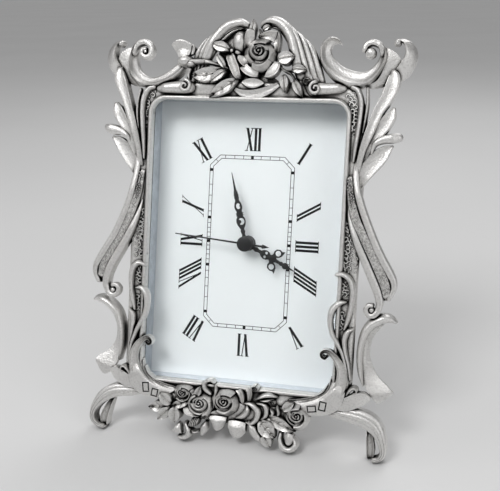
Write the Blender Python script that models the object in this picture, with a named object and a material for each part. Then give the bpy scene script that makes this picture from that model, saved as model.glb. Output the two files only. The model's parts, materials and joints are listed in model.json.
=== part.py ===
"""A cast rose-and-scroll table clock that leans back on an easel strut, with its quartz movement.

The clock is drawn upright: X to the right, Y to the back, Z up, with the hand axis on X = Z = 0
and the front of the glass seat on Y = 0. The finished clock is then tilted back and stood on the floor.
"""

import math

import bmesh
import bpy
import numpy as np
from mathutils import Matrix

MM = 0.001

# Clearances between pieces
GAP = 0.3 * MM
FIT = 0.15 * MM

# Frame casting
OPENING_WIDTH = 86 * MM
OPENING_HEIGHT = 124 * MM
OPENING_CORNER_RADIUS = 6 * MM
GLASS_LAP = 1.6 * MM
RAIL_WIDTH = 8.5 * MM
RAIL_HEIGHT = 4.2 * MM
RIM_WALL = 3 * MM
FOOT_DROP = 27 * MM
LEAN = math.radians(15)

# The ornament is drawn for an opening of this half height, and its side runs stretch with the opening
DRAWN_HALF_HEIGHT = 62 * MM

# Pane, spacer, dial and board, from front to back
GLASS_THICKNESS = 2 * MM
SPACER_DEPTH = 8.5 * MM
SPACER_WALL = 1 * MM
DIAL_THICKNESS = 0.6 * MM
BOARD_THICKNESS = 2.5 * MM

# Turn tabs and their screws
TAB_SPACING = 56 * MM
TAB_LENGTH = 11 * MM
TAB_WIDTH = 5 * MM
TAB_THICKNESS = 0.8 * MM
BOSS_RADIUS = 3.2 * MM
SCREW_RADIUS = 1 * MM
SCREW_LENGTH = 6 * MM
SCREW_HEAD_RADIUS = 2 * MM
SCREW_HEAD_HEIGHT = 1 * MM

# Movement
CASE_SIDE = 56 * MM
CASE_DEPTH = 16 * MM
CASE_WALL = 1.3 * MM
COVER_THICKNESS = 1.5 * MM
BUSHING_RADIUS = 3.2 * MM
BUSHING_WALL = 0.45 * MM
BUSHING_LENGTH = 3.5 * MM
CELL_RADIUS = 7.1 * MM
CELL_LENGTH = 49.2 * MM
CELL_NUB_RADIUS = 2.6 * MM
CELL_NUB_LENGTH = 1.3 * MM
CONTACT_THICKNESS = 0.4 * MM
CONTACT_WIDTH = 6 * MM
KNOB_RADIUS = 6 * MM
KNOB_HEIGHT = 3 * MM
BOARD_LENGTH = 17 * MM
BOARD_HEIGHT = 10 * MM
BOARD_SHEET = 1 * MM
STATOR_SHEET = 1 * MM
COIL_SIDE = 6.6 * MM

# Gear train: tooth counts, modules and arbors
ROTOR_PINION_TEETH = 6
STEP_WHEEL_TEETH = 30
STEP_PINION_TEETH = 6
SECONDS_WHEEL_TEETH = 36
SECONDS_PINION_TEETH = 6
THIRD_WHEEL_TEETH = 45
THIRD_PINION_TEETH = 6
CENTRE_WHEEL_TEETH = 48
CANNON_PINION_TEETH = 12
MOTION_WHEEL_TEETH = 36
MOTION_PINION_TEETH = 6
HOUR_WHEEL_TEETH = 24
KNOB_PINION_TEETH = 12
ROTOR_MODULE = 0.34 * MM
STEP_MODULE = 0.42 * MM
THIRD_MODULE = 0.34 * MM
CANNON_MODULE = 0.35 * MM
WHEEL_THICKNESS = 0.8 * MM
PINION_LENGTH = 1.2 * MM
ARBOR_RADIUS = 0.4 * MM
STUD_RADIUS = 0.5 * MM
STUD_HUB_WALL = 0.3 * MM
SECONDS_SHAFT_RADIUS = 0.5 * MM
MINUTE_TUBE_RADIUS = 1.5 * MM
HOUR_TUBE_RADIUS = 2.5 * MM
TUBE_WALL = 0.6 * MM
MAGNET_RADIUS = 2.6 * MM
MAGNET_LENGTH = 2 * MM
ADDENDUM = 0.75
DEDENDUM = 1.15

# Hands
HAND_THICKNESS = 0.4 * MM
HAND_STEP = 1.4 * MM
HUB_RADIUS = 3.4 * MM
HOUR_HAND_LENGTH = 25 * MM
MINUTE_HAND_LENGTH = 32.3 * MM
SECOND_HAND_LENGTH = 32.6 * MM
SECOND_TAIL_LENGTH = 11.3 * MM
CAP_HEIGHT = 1 * MM
HOUR_ANGLE = math.radians(116)
MINUTE_ANGLE = math.radians(346)
SECOND_ANGLE = math.radians(275)

# Easel
HINGE_HEIGHT = -35 * MM
HINGE_SHEET = 1 * MM
HINGE_WIDTH = 25 * MM
HINGE_STANDOFF = 3.4 * MM
EAR_THICKNESS = 1.5 * MM
BARREL_RADIUS = 2.2 * MM
PIN_RADIUS = 1.1 * MM
STRUT_THICKNESS = 2 * MM
STRUT_FOOT_WIDTH = 28 * MM
STRUT_SWING = math.radians(40)
RIVET_RADIUS = 1.2 * MM
RIVET_INSET = 5.5 * MM

# Values that follow from the sizes above
HALF_WIDTH = OPENING_WIDTH / 2
HALF_HEIGHT = OPENING_HEIGHT / 2
POCKET_HALF_WIDTH = HALF_WIDTH + GLASS_LAP + GAP
POCKET_HALF_HEIGHT = HALF_HEIGHT + GLASS_LAP + GAP
FLOOR_HEIGHT = -HALF_HEIGHT - FOOT_DROP
GLASS_FRONT = GAP
SPACER_FRONT = GLASS_FRONT + GLASS_THICKNESS + GAP
DIAL_FRONT = SPACER_FRONT + SPACER_DEPTH + GAP
BOARD_FRONT = DIAL_FRONT + DIAL_THICKNESS + GAP
BOARD_BACK = BOARD_FRONT + BOARD_THICKNESS
TAB_FRONT = BOARD_BACK + GAP
TAB_HEIGHT = POCKET_HALF_HEIGHT + BOSS_RADIUS + GAP
CASE_FRONT = BOARD_BACK + GAP
CASE_FLOOR = CASE_FRONT + CASE_WALL
CASE_BACK = CASE_FRONT + CASE_DEPTH
COVER_FRONT = CASE_BACK - COVER_THICKNESS
CASE_INSIDE = CASE_SIDE / 2 - CASE_WALL
BAY_TOP = -CASE_INSIDE + 2 * CELL_RADIUS + 2 * GAP
CHAMBER_BOTTOM = BAY_TOP + CASE_WALL
CELL_HEIGHT = -CASE_INSIDE + CELL_RADIUS + GAP
CELL_DEPTH = CASE_FLOOR + CELL_RADIUS + GAP
BUSHING_FRONT = DIAL_FRONT - BUSHING_LENGTH
HOUR_HAND_FRONT = BUSHING_FRONT - GAP - HAND_THICKNESS
MINUTE_HAND_FRONT = HOUR_HAND_FRONT - HAND_STEP
SECOND_HAND_FRONT = MINUTE_HAND_FRONT - HAND_STEP
HINGE_DEPTH = BOARD_BACK + GAP + HINGE_SHEET + HINGE_STANDOFF
BARREL_LENGTH = HINGE_WIDTH - 2 * EAR_THICKNESS - 2 * GAP

# Layers of the train, counted from the case floor, and its centres
HOUR_LAYER = CASE_FLOOR + 0.6 * MM
MOTION_LAYER = HOUR_LAYER + WHEEL_THICKNESS + 2 * GAP
CENTRE_LAYER = MOTION_LAYER + PINION_LENGTH + 2 * GAP
THIRD_LAYER = CENTRE_LAYER + PINION_LENGTH + 2 * GAP
SECONDS_LAYER = THIRD_LAYER + PINION_LENGTH + GAP
STEP_LAYER = SECONDS_LAYER + PINION_LENGTH + GAP
STATOR_FRONT = CENTRE_LAYER + WHEEL_THICKNESS + 2 * GAP
ARBOR_FRONT = CASE_FLOOR + GAP
ARBOR_BACK = COVER_FRONT - GAP
STEP_DISTANCE = STEP_MODULE * (STEP_PINION_TEETH + SECONDS_WHEEL_TEETH) / 2
ROTOR_DISTANCE = ROTOR_MODULE * (ROTOR_PINION_TEETH + STEP_WHEEL_TEETH) / 2
THIRD_DISTANCE = THIRD_MODULE * (SECONDS_PINION_TEETH + THIRD_WHEEL_TEETH) / 2
CENTRE_MODULE = 2 * THIRD_DISTANCE / (THIRD_PINION_TEETH + CENTRE_WHEEL_TEETH)
MOTION_DISTANCE = CANNON_MODULE * (CANNON_PINION_TEETH + MOTION_WHEEL_TEETH) / 2
HOUR_MODULE = 2 * MOTION_DISTANCE / (MOTION_PINION_TEETH + HOUR_WHEEL_TEETH)
KNOB_DISTANCE = CANNON_MODULE * (KNOB_PINION_TEETH + MOTION_WHEEL_TEETH) / 2
STEP_DIRECTION = math.radians(-10)
ROTOR_DIRECTION = math.radians(40)
THIRD_DIRECTION = math.radians(118)
MOTION_DIRECTION = math.radians(62)
KNOB_DIRECTION = math.radians(100)


def polar(centre, distance, angle):
    return centre[0] + distance * math.cos(angle), centre[1] + distance * math.sin(angle)


HAND_AXIS = (0.0, 0.0)
STEP_AXIS = polar(HAND_AXIS, STEP_DISTANCE, STEP_DIRECTION)
ROTOR_AXIS = polar(STEP_AXIS, ROTOR_DISTANCE, ROTOR_DIRECTION)
THIRD_AXIS = polar(HAND_AXIS, THIRD_DISTANCE, THIRD_DIRECTION)
MOTION_AXIS = polar(HAND_AXIS, MOTION_DISTANCE, MOTION_DIRECTION)
KNOB_AXIS = polar(MOTION_AXIS, KNOB_DISTANCE, KNOB_DIRECTION)


# Scene, materials and objects

def clear_scene():
    for obj in list(bpy.data.objects):
        bpy.data.objects.remove(obj)


def material(name, colour, roughness, metallic):
    made = bpy.data.materials.new(name)
    made.use_nodes = True
    shader = made.node_tree.nodes["Principled BSDF"]
    shader.inputs["Base Color"].default_value = (*colour, 1)
    shader.inputs["Roughness"].default_value = roughness
    shader.inputs["Metallic"].default_value = metallic
    return made


def empty(name, parent=None, location=(0, 0, 0), rotation=(0, 0, 0)):
    made = bpy.data.objects.new(name, None)
    bpy.context.scene.collection.objects.link(made)
    made.parent = parent
    made.location = location
    made.rotation_euler = rotation
    return made


def add(name, shape, finish, parent, location=(0, 0, 0), rotation=(0, 0, 0)):
    """An object from a shape, which is a pair of points and faces."""
    mesh = bpy.data.meshes.new(name)
    points, faces = shape
    mesh.from_pydata([tuple(p) for p in points], [], faces)
    bm = bmesh.new()
    bm.from_mesh(mesh)
    bmesh.ops.recalc_face_normals(bm, faces=bm.faces)
    bm.to_mesh(mesh)
    bm.free()
    mesh.shade_smooth()
    mesh.set_sharp_from_angle(angle=math.radians(35))
    made = bpy.data.objects.new(name, mesh)
    bpy.context.scene.collection.objects.link(made)
    made.parent = parent
    made.location = location
    made.rotation_euler = rotation
    mesh.materials.append(finish)
    return made


def combine(target, operation, shapes):
    """Joins the shapes to the target, or cuts them from it. They are in the target's own coordinates."""
    group = bpy.data.collections.new(f"{target.name} {operation.lower()} {len(target.modifiers)}")
    bpy.context.scene.collection.children.link(group)
    for number, shape in enumerate(shapes):
        helper = add(f"{group.name} {number}", shape, target.data.materials[0], target.parent)
        helper.location = target.location
        helper.rotation_euler = target.rotation_euler
        helper.hide_render = True
        helper.display_type = "WIRE"
        bpy.context.scene.collection.objects.unlink(helper)
        group.objects.link(helper)
    modifier = target.modifiers.new(operation.title(), "BOOLEAN")
    modifier.operation = operation
    modifier.operand_type = "COLLECTION"
    modifier.collection = group
    modifier.solver = "EXACT"
    return target


# Shapes: pairs of points and faces

def loft(points, ring_size):
    """Walls between rings of points that follow each other, with both ends closed."""
    count = len(points) // ring_size
    faces = [tuple(range(ring_size)), tuple(range((count - 1) * ring_size, count * ring_size))]
    for ring in range(count - 1):
        for i in range(ring_size):
            low, high = ring * ring_size, (ring + 1) * ring_size
            j = (i + 1) % ring_size
            faces.append((low + i, low + j, high + j, high + i))
    return points, faces


def prism(loops, start, end, along="Y"):
    """A plate between two depths. The first loop is its outline, and any others are holes.

    The loops hold (x, z) for a plate along Y, and (y, z) for one along X.
    """
    bm = bmesh.new()
    for loop in loops:
        made = [bm.verts.new((a, start, b)) for a, b in loop]
        for i, vert in enumerate(made):
            bm.edges.new((vert, made[(i + 1) % len(made)]))
    bmesh.ops.triangle_fill(bm, use_beauty=True, edges=bm.edges, normal=(0, 1, 0))
    bottom = list(bm.faces)
    lifted = bmesh.ops.extrude_face_region(bm, geom=bottom)["geom"]
    for item in lifted:
        if isinstance(item, bmesh.types.BMVert):
            item.co.y = end
    bm.verts.index_update()
    order = (0, 1, 2) if along == "Y" else (1, 0, 2)
    points = [tuple(v.co[k] for k in order) for v in bm.verts]
    faces = [tuple(v.index for v in face.verts) for face in bm.faces]
    bm.free()
    return points, faces


def circle(radius, centre=(0, 0), sides=16):
    return [polar(centre, radius, math.tau * i / sides) for i in range(sides)]


def rectangle(half_width, half_height, centre=(0, 0)):
    x, z = centre
    return [
        (x - half_width, z - half_height),
        (x + half_width, z - half_height),
        (x + half_width, z + half_height),
        (x - half_width, z + half_height),
    ]


def rounded_rectangle(half_width, half_height, radius, steps=4):
    loop = []
    for corner, (sx, sz) in enumerate(((1, 1), (-1, 1), (-1, -1), (1, -1))):
        centre = (sx * (half_width - radius), sz * (half_height - radius))
        for step in range(steps + 1):
            loop.append(polar(centre, radius, math.pi / 2 * (corner + step / steps)))
    return loop


def disc(radius, start, end, centre=(0, 0), sides=16):
    return prism([circle(radius, centre, sides)], start, end)


def tube(radius, bore, start, end, centre=(0, 0), sides=16):
    return prism([circle(radius, centre, sides), circle(bore, centre, sides)], start, end)


def gear(teeth, module, phase, start, end, centre=(0, 0), bore=0):
    """A spur gear with straight teeth. One tooth lies in the direction of phase."""
    tip = module * (teeth / 2 + ADDENDUM)
    root = module * (teeth / 2 - DEDENDUM)
    pitch = math.tau / teeth
    outline = []
    for tooth in range(teeth):
        for share, radius in ((-0.04, tip), (0.04, tip), (0.5, root)):
            outline.append(polar(centre, radius, phase + (tooth + share) * pitch))
    loops = [outline]
    if bore:
        loops.append(circle(bore, centre))
    return prism(loops, start, end)


def smooth(points, steps):
    """A curve through the points, with the given number of steps to each span."""
    points = np.asarray(points, float)
    ends = np.vstack([2 * points[0] - points[1], points, 2 * points[-1] - points[-2]])
    t = np.linspace(0, 1, steps, endpoint=False)[:, None]
    spans = []
    for a, b, c, d in zip(ends, ends[1:], ends[2:], ends[3:]):
        cubic = 3 * b - a - 3 * c + d
        square = 2 * a - 5 * b + 4 * c - d
        spans.append(0.5 * (2 * b + (c - a) * t + square * t**2 + cubic * t**3))
    return np.vstack([*spans, points[-1:]])


# Cross sections of the casting's runs: (across, height), where the sides are at -1 and 1
BAND = ((-1, 0), (-1, 0.55), (-0.6, 1), (0.6, 1), (1, 0.55), (1, 0))
BEAD = ((-1, 0), (-0.8, 0.75), (0, 1), (0.8, 0.75), (1, 0))
LEAF = ((-1, 0), (-0.9, 0.45), (-0.4, 1), (0, 0.7), (0.4, 1), (0.9, 0.45), (1, 0))
GUTTER = ((-1, 0), (-1, 0.7), (-0.6, 1), (-0.1, 0.9), (0.5, 0.45), (1, 0.3), (1, 0))
FLUTES = ((-1, 0), (-1, 0.6), (-0.7, 1), (-0.35, 0.65), (0.35, 0.65), (0.7, 1), (1, 0.6), (1, 0))


def sweep(run, section, back, height):
    """A run of the casting: (x, z, half width) points, with the section standing on the back plane."""
    path = smooth(run, 2 if len(run) < 7 else 1)
    middle = path[:, :2]
    ahead = np.gradient(middle, axis=0)
    ahead /= np.linalg.norm(ahead, axis=1, keepdims=True)
    points = []
    for (x, z), (ax, az), half in zip(middle, ahead, path[:, 2]):
        points += [(x - az * u * half, back - v * height, z + ax * u * half) for u, v in section]
    return loft(points, len(section))


def dome(x, z, across, up, back, height, lobes=0, turn=0.0, sides=10):
    """A rounded knob with a flat back, or a ring of petals where it has lobes."""
    points = []
    for radius, lift in ((1, 0), (0.96, 0.45), (0.6, 0.88)):
        for i in range(sides):
            angle = math.tau * i / sides
            wave = radius * (1 + 0.12 * math.cos(lobes * angle) * bool(lobes))
            u, v = across * wave * math.cos(angle), up * wave * math.sin(angle)
            points.append((
                x + u * math.cos(turn) - v * math.sin(turn),
                back - lift * height,
                z + u * math.sin(turn) + v * math.cos(turn),
            ))
    points.append((x, back - height, z))
    faces = [tuple(range(sides))]
    for i in range(sides):
        j = (i + 1) % sides
        for low in (0, sides):
            faces.append((low + i, low + j, low + sides + j, low + sides + i))
        faces.append((2 * sides + i, 2 * sides + j, 3 * sides))
    return points, faces


def rose(x, z, radius, back, height):
    return [
        dome(x, z, radius, radius, back, 0.6 * height, 5, 0.0, 15),
        dome(x, z, 0.72 * radius, 0.72 * radius, back, 0.86 * height, 4, 0.7, 12),
        dome(x, z, 0.4 * radius, 0.4 * radius, back, height, 3, 0.2, 9),
    ]


# Where the ornament sits: points in millimetres are measured from these places

def at_corner(side, top, run):
    """Points outwards and upwards from a corner of the opening."""
    x, z = HALF_WIDTH, HALF_HEIGHT if top else -HALF_HEIGHT
    return [(side * (x + p[0] * MM), z + p[1] * MM, *[w * MM for w in p[2:]]) for p in run]


def at_side(side, run):
    """Points outwards from the opening's side, at heights that stretch with the opening."""
    stretch = HALF_HEIGHT / DRAWN_HALF_HEIGHT
    return [
        (side * (HALF_WIDTH + p[0] * MM), p[1] * MM * stretch, *[w * MM for w in p[2:]]) for p in run
    ]


def at_middle(top, run):
    """Points sideways from the clock's middle, and upwards from the opening's top or bottom edge."""
    z = HALF_HEIGHT if top else -HALF_HEIGHT
    return [(p[0] * MM, z + p[1] * MM, *[w * MM for w in p[2:]]) for p in run]


# The casting isn't quite symmetrical: the left scroll sits this many millimetres nearer to the middle
LEFT_SCROLL_SHIFT = 2.6

# Depths of the ornament: its runs stand on one of these planes
ON_RAIL = -1.2 * MM
FREE = 1.6 * MM
OVER = -2.6 * MM


def corner_scroll(side):
    """C-scroll, flare and web at an upper corner. The left one starts under a trumpet flower."""
    hook = [(-4.8, 25.2, 0.5), (-8, 26, 1.5), (-11, 24.3, 2)]
    bowl = [
        (-12, 20, 2.4), (-10, 15.8, 2.8), (-6, 12.6, 3.2), (0, 11, 3.5), (6, 11.4, 3.4),
        (10.6, 14.4, 3), (12.6, 18.8, 2.4), (11.9, 22.6, 1.9), (9, 24.6, 1.6), (5.8, 22.8, 1.4),
    ]
    flare = [
        (6.4, 9, 1.5), (13, 9.8, 2.5), (18.6, 12, 3.2), (22.6, 16.2, 3.2),
        (24.4, 21, 2.7), (23.2, 25, 1.8), (20.5, 26.2, 1.1),
    ]
    web = [(11, 9.5, 3), (14.5, 13.5, 4.4), (16.2, 17.5, 3.2)]
    curls = [(8, 21.3, 3), (19.8, 24.6, 2)]
    if side > 0:
        runs = [hook + bowl, flare, web, curls]
        gutter = GUTTER
    else:
        runs = [[(x - LEFT_SCROLL_SHIFT, *rest) for x, *rest in run] for run in (bowl, flare, web, curls)]
        gutter = [(-u, v) for u, v in GUTTER]
    bowl, flare, web, curls = [at_corner(side, True, run) for run in runs]
    return [
        sweep(bowl, gutter, FREE, 6.6 * MM),
        sweep(flare, BAND, FREE - 0.3 * MM, 5.4 * MM),
        sweep(web, BAND, FREE - 0.6 * MM, 3.4 * MM),
        *[dome(x, z, radius, radius, FREE, 6.8 * MM) for x, z, radius in curls],
    ]


def leaf_sprig(side):
    """Three leaves that spread from the upper rail, the lowest with its tip folded over."""
    leaves = [
        [(7.5, -18, 0.9), (11, -7, 1.6), (14.5, 1, 2.3), (17.4, 8, 2.6), (18, 14.5, 0.3)],
        [(7, -22, 1), (12, -12, 2.4), (16.3, -6.5, 2.6), (19.5, -0.6, 0.3)],
        [(5.5, -36, 1.6), (10, -27, 3.2), (15, -21.5, 2.4), (19.5, -18, 0.3)],
        [(10.5, -21, 1.2), (14, -15.6, 1.9), (19, -14.6, 2.2), (23, -13.7, 1.6)],
    ]
    backs = (ON_RAIL, ON_RAIL + 0.3 * MM, ON_RAIL + 0.6 * MM, ON_RAIL - 0.3 * MM)
    return [
        sweep(at_corner(side, True, leaf), LEAF, back, 3.6 * MM) for leaf, back in zip(leaves, backs)
    ]


def side_ribbon(side):
    """The fluted ribbon that swings out from the rail and rolls in, and the bracket under it."""
    ribbon = [
        (5.3, 36, 2.2), (6, 28, 2.8), (7.6, 18, 3.2), (10.8, 8, 3.9), (14, 0, 4.5),
        (17, -7, 4.9), (19.2, -13.5, 5), (19.2, -19, 4.2), (17.4, -23.3, 2.4),
    ]
    bracket = [
        (25.2, -28.2, 0.5), (21, -27.2, 1.4), (16.5, -29.5, 2.2), (12.6, -35, 2.2), (11.1, -42, 1.9),
        (11.4, -49, 2), (13.6, -54, 2.9), (17, -57.8, 4), (20.5, -60.2, 5),
    ]
    (x, z, radius), = at_side(side, [(15.2, -24, 2.9)])
    return [
        sweep(at_side(side, ribbon), FLUTES, ON_RAIL + 0.5 * MM, 4.4 * MM),
        sweep(at_side(side, bracket), BAND, FREE - 0.2 * MM, 5.6 * MM),
        dome(x, z, radius, radius, FREE - 0.1 * MM, 7.4 * MM),
    ]


def rail_tendrils(side):
    """Beads and S-tendrils that lie on the side rails."""
    stem = [(1, 7, 0.9), (5, 4.5, 1.1), (6.5, -2, 1.1), (5.7, -10, 1.1), (4.5, -18, 1), (4.3, -26, 0.8)]
    tendrils = [
        [(-0.6, -10, 0.5), (2, -8.8, 1.1), (5.3, -11, 1.2), (6.8, -17, 1.1), (6.3, -24, 1), (4.4, -30, 0.6)],
        [
            (4.3, -21, 0.5), (0.6, -22.3, 1.1), (-1.6, -27, 1.3), (-1.4, -32, 1.3),
            (0.6, -37.5, 1.3), (3.5, -43, 1.3), (5.6, -50, 1.2), (6.5, -57, 1),
        ],
        [(3.7, -36.5, 0.5), (4.8, -33.8, 1), (6.8, -34.5, 1), (7.2, -42, 0.9), (7.2, -51, 0.8)],
    ]
    shapes = [sweep(at_corner(side, True, stem), BEAD, OVER, 2.6 * MM)]
    for number, run in enumerate(tendrils):
        shapes.append(sweep(at_side(side, run), BEAD, OVER + 0.2 * number * MM, 3 * MM))
    return shapes


def lower_corner(side):
    """Spandrel with its inner curl, the curled leaf beside it, and the foot that rolls under."""
    spandrel = [
        (-3, 19, 0.9), (0, 17.2, 1.7), (3, 12.5, 2.4), (4, 7, 2.9), (2.5, 2, 3.2), (-2, -2.2, 2.6),
        (-9, -4, 1.5),
    ]
    curled_leaf = [(3, -2, 1.5), (8, 1.6, 3), (11.5, 1.8, 3.4), (15, 0, 2)]
    foot = [
        (-17, -5.5, 3), (-7, -6.5, 3), (1, -6.9, 3), (9, -7.5, 2.9), (16, -9.5, 2.6), (21, -14, 2.1),
        (23.2, -20, 1.7), (22, -24.8, 1.6), (18.8, -26.6, 1.5), (16.4, -23.8, 1.2), (16.6, -17.5, 0.7),
    ]
    rolls = at_corner(side, False, [(-3.8, 17.4, 2.1), (9, 4.3, 1.9)])
    shapes = [
        sweep(at_corner(side, False, spandrel), BAND, ON_RAIL - 0.1 * MM, 3.8 * MM),
        sweep(at_corner(side, False, curled_leaf), LEAF, ON_RAIL + 0.4 * MM, 4.4 * MM),
        sweep(at_corner(side, False, foot), BAND, FREE + 1.4 * MM, 7.8 * MM),
    ]
    shapes += [dome(x, z, r, r, ON_RAIL, 5 * MM) for x, z, r in rolls]
    return shapes


def crest_wing(side):
    """Half of the heart-shaped arch over the crest, and the tube scroll on the rail beside it."""
    wing = [
        (3.4, 30.5, 0.9), (5.5, 33, 1.4), (10, 33.2, 1.7), (15, 29.8, 1.7), (19.4, 24.5, 2.2),
        (22.6, 18.5, 3.2), (24.8, 12.5, 4.6), (26.5, 6.5, 5.4),
    ]
    scroll = [(45, 6.6, 1.6), (38, 6, 2.2), (32, 5.8, 2.2), (28, 5.6, 2)]
    mirrored = [(side * x, z, w) for x, z, w in wing]
    roll = at_middle(True, [(side * 28, 6, 2.7)])
    return [
        sweep(at_middle(True, mirrored), FLUTES, ON_RAIL + 0.2 * MM, 3.4 * MM),
        sweep(at_middle(True, [(side * x, z, w) for x, z, w in scroll]), BEAD, OVER, 3.4 * MM),
        *[dome(x, z, r, r, OVER, 4 * MM) for x, z, r in roll],
    ]


def petals_and_leaves(top, leaves, petals, back, height):
    """Leaves as short runs, and petals or buds as (x, z, across, up, turn in degrees, height)."""
    shapes = [sweep(at_middle(top, leaf), LEAF, back, height) for leaf in leaves]
    for number, (x, z, across, up, turn, lift) in enumerate(petals):
        (px, pz, pa, pu), = at_middle(top, [(x, z, across, up)])
        shapes.append(dome(px, pz, pa, pu, back + 0.07 * number * MM, lift * MM, 0, math.radians(turn)))
    return shapes


def crest():
    """The large rose with its bud, petals and leaves over the opening."""
    leaves = [
        [(1, 24, 1), (0.8, 31, 1.7), (1, 35.4, 0.3)],
        [(9, 15.5, 1.2), (15, 18.2, 3), (19.8, 21.3, 0.3)],
        [(17, 13, 1), (22, 13.3, 2.2), (24.8, 13.5, 0.4)],
        [(15.5, 14, 1), (16, 8.5, 2.3), (16, 4.3, 0.3)],
        [(19, 11, 1), (21.5, 6, 2), (23.5, 2, 0.3)],
        [(-8, 13, 1.2), (-18, 11.5, 3.2), (-26, 11, 0.4)],
        [(-8, 19, 1), (-13, 22, 2.5), (-17.5, 24.3, 0.4)],
        [(-4, 9.5, 1.2), (-11, 5, 3), (-18, 1.6, 0.4)],
    ]
    petals = [
        (-6, 26, 3.2, 4.8, 0, 5.2), (-6, 20, 2.6, 3.6, 0, 4), (8.6, 27, 4.6, 3.4, -10, 5),
        (-8, 15.5, 2.2, 6, 12, 4.4), (-3.4, 16, 2.4, 5, -12, 4.6), (7, 13.6, 7.4, 3.4, 6, 5.4),
        (1, 9.2, 5.8, 3.2, -6, 5), (4, 4.6, 9.6, 4.6, 0, 3.4), (25.4, 9, 1.9, 1.9, 0, 4),
        (-13.5, 13, 4, 5, 20, 2.4),
    ]
    ground = [(-20, 5.5, 3.5), (-9, 9, 7), (5, 10, 8), (18, 6.5, 4.5)]
    trumpet = [(-20, 14, 1.4), (-26, 17.5, 2.8), (-30.3, 20.6, 4), (-32.4, 24, 3.6)]
    shapes = petals_and_leaves(True, leaves, petals, ON_RAIL - 0.2 * MM, 4.6 * MM)
    shapes.append(sweep(at_middle(True, ground), BAND, ON_RAIL + 0.6 * MM, 2.6 * MM))
    shapes.append(sweep(at_middle(True, trumpet), BAND, ON_RAIL + 0.9 * MM, 4.6 * MM))
    (x, z, radius), = at_middle(True, [(4.5, 21, 6.6)])
    return shapes + rose(x, z, radius, ON_RAIL - 0.5 * MM, 8 * MM)


def garland():
    """Roses, buds and leaves along the bottom rail, on a thin apron that hangs below it."""
    leaves = [
        [(-7, -13, 3.4), (-7, -17.5, 3), (-7, -21.6, 0.4)],
        [(10.5, -12, 1.2), (14, -19, 3.4), (18.5, -26, 0.5)],
        [(15.5, -13, 1.5), (22, -16.5, 2.5), (28, -17.8, 0.4)],
        [(-13, -15, 1), (-13.3, -21, 1.8), (-14.5, -24, 0.5)],
        [(-20, -16, 1), (-24.5, -21.5, 2.2), (-27.5, -24, 0.4)],
        [(-28, -11.5, 0.8), (-34.5, -13, 1.5), (-38.4, -13.7, 0.3)],
        [(-28, -12, 0.8), (-33.5, -15.5, 1.7), (-36, -18.4, 0.3)],
        [(-25, -11, 0.8), (-31, -9.5, 2.2), (-35, -7, 0.4)],
    ]
    petals = [
        (9.5, -1.4, 2.4, 2.4, 0, 4.6), (-11, -2, 2.6, 2.4, 20, 4.4), (-14, -11, 6.6, 4.6, 0, 4.2),
        (8, -11.8, 4.6, 4.6, 0, 4.8), (14, -8, 5.4, 4.2, 25, 4.4), (19, -6.5, 3, 2.6, 0, 4),
        (3, -18.4, 4.3, 3.9, 0, 4), (-27, -16, 2.5, 3.4, 0, 4.2), (-18, -18.4, 3.9, 3.8, 0, 4.8),
    ]
    curls = [
        [(26.5, -16.5, 1.1), (29.2, -20.5, 1.3), (28.2, -24.6, 1.3), (24.6, -25.6, 1.2), (22.8, -22.5, 1)],
        [(-26.8, -23.6, 0.8), (-23.5, -26, 1), (-20.2, -24.4, 1), (-19.2, -20.5, 0.9)],
    ]
    apron = [(-31, -8.5, 2.6), (-17, -12.5, 5), (0, -13, 5), (15, -13.5, 5), (27, -12, 3.6), (31, -9, 2)]
    shapes = petals_and_leaves(False, leaves, petals, ON_RAIL - 0.1 * MM, 4.4 * MM)
    shapes += [sweep(at_middle(False, run), BEAD, ON_RAIL + 0.2 * MM, 4.4 * MM) for run in curls]
    shapes.append(sweep(at_middle(False, apron), BAND, ON_RAIL + 0.45 * MM, 2.6 * MM))
    roses = at_middle(False, [(-3.5, -8, 5.6), (-23.5, -6.6, 4.8), (28, -10.2, 5.2)])
    for number, (x, z, radius) in enumerate(roses):
        shapes += rose(x, z, radius, ON_RAIL - (0.3 + 0.05 * number) * MM, 6.6 * MM)
    return shapes


def rail_ring():
    """The moulded rails around the opening, as one ring with a raised lip at its inner edge."""
    section = (
        (0, 0), (0, 0.8), (0.08, 1), (0.22, 1), (0.3, 0.72), (0.78, 0.82), (0.94, 0.7), (1, 0.4), (1, 0),
    )
    loops = []
    for across, height in section:
        grow = across * RAIL_WIDTH
        loop = rounded_rectangle(HALF_WIDTH + grow, HALF_HEIGHT + grow, OPENING_CORNER_RADIUS + grow)
        loops.append([(x, -height * RAIL_HEIGHT, z) for x, z in loop])
    size = len(loops[0])
    points = [point for loop in loops for point in loop]
    faces = []
    for ring in range(len(loops)):
        low, high = ring * size, (ring + 1) % len(loops) * size
        for i in range(size):
            j = (i + 1) % size
            faces.append((low + i, low + j, high + j, high + i))
    return points, faces


def tab_places():
    """Where each turn tab pivots, and the angle that points it at the board."""
    x = TAB_SPACING / 2
    return [(x, TAB_HEIGHT, 0), (-x, TAB_HEIGHT, 0), (-x, -TAB_HEIGHT, math.pi), (x, -TAB_HEIGHT, math.pi)]


def floor_block():
    """Everything under the floor, in the upright clock's coordinates."""
    reach, depth = 0.4, 0.1
    corners = rectangle(reach / 2, depth / 2, (0, -depth / 2))
    tilted = []
    for y, z in corners:
        tilted.append((
            y * math.cos(LEAN) - z * math.sin(LEAN),
            y * math.sin(LEAN) + z * math.cos(LEAN) + FLOOR_HEIGHT,
        ))
    return prism([tilted], -reach / 2, reach / 2, "X")


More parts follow.
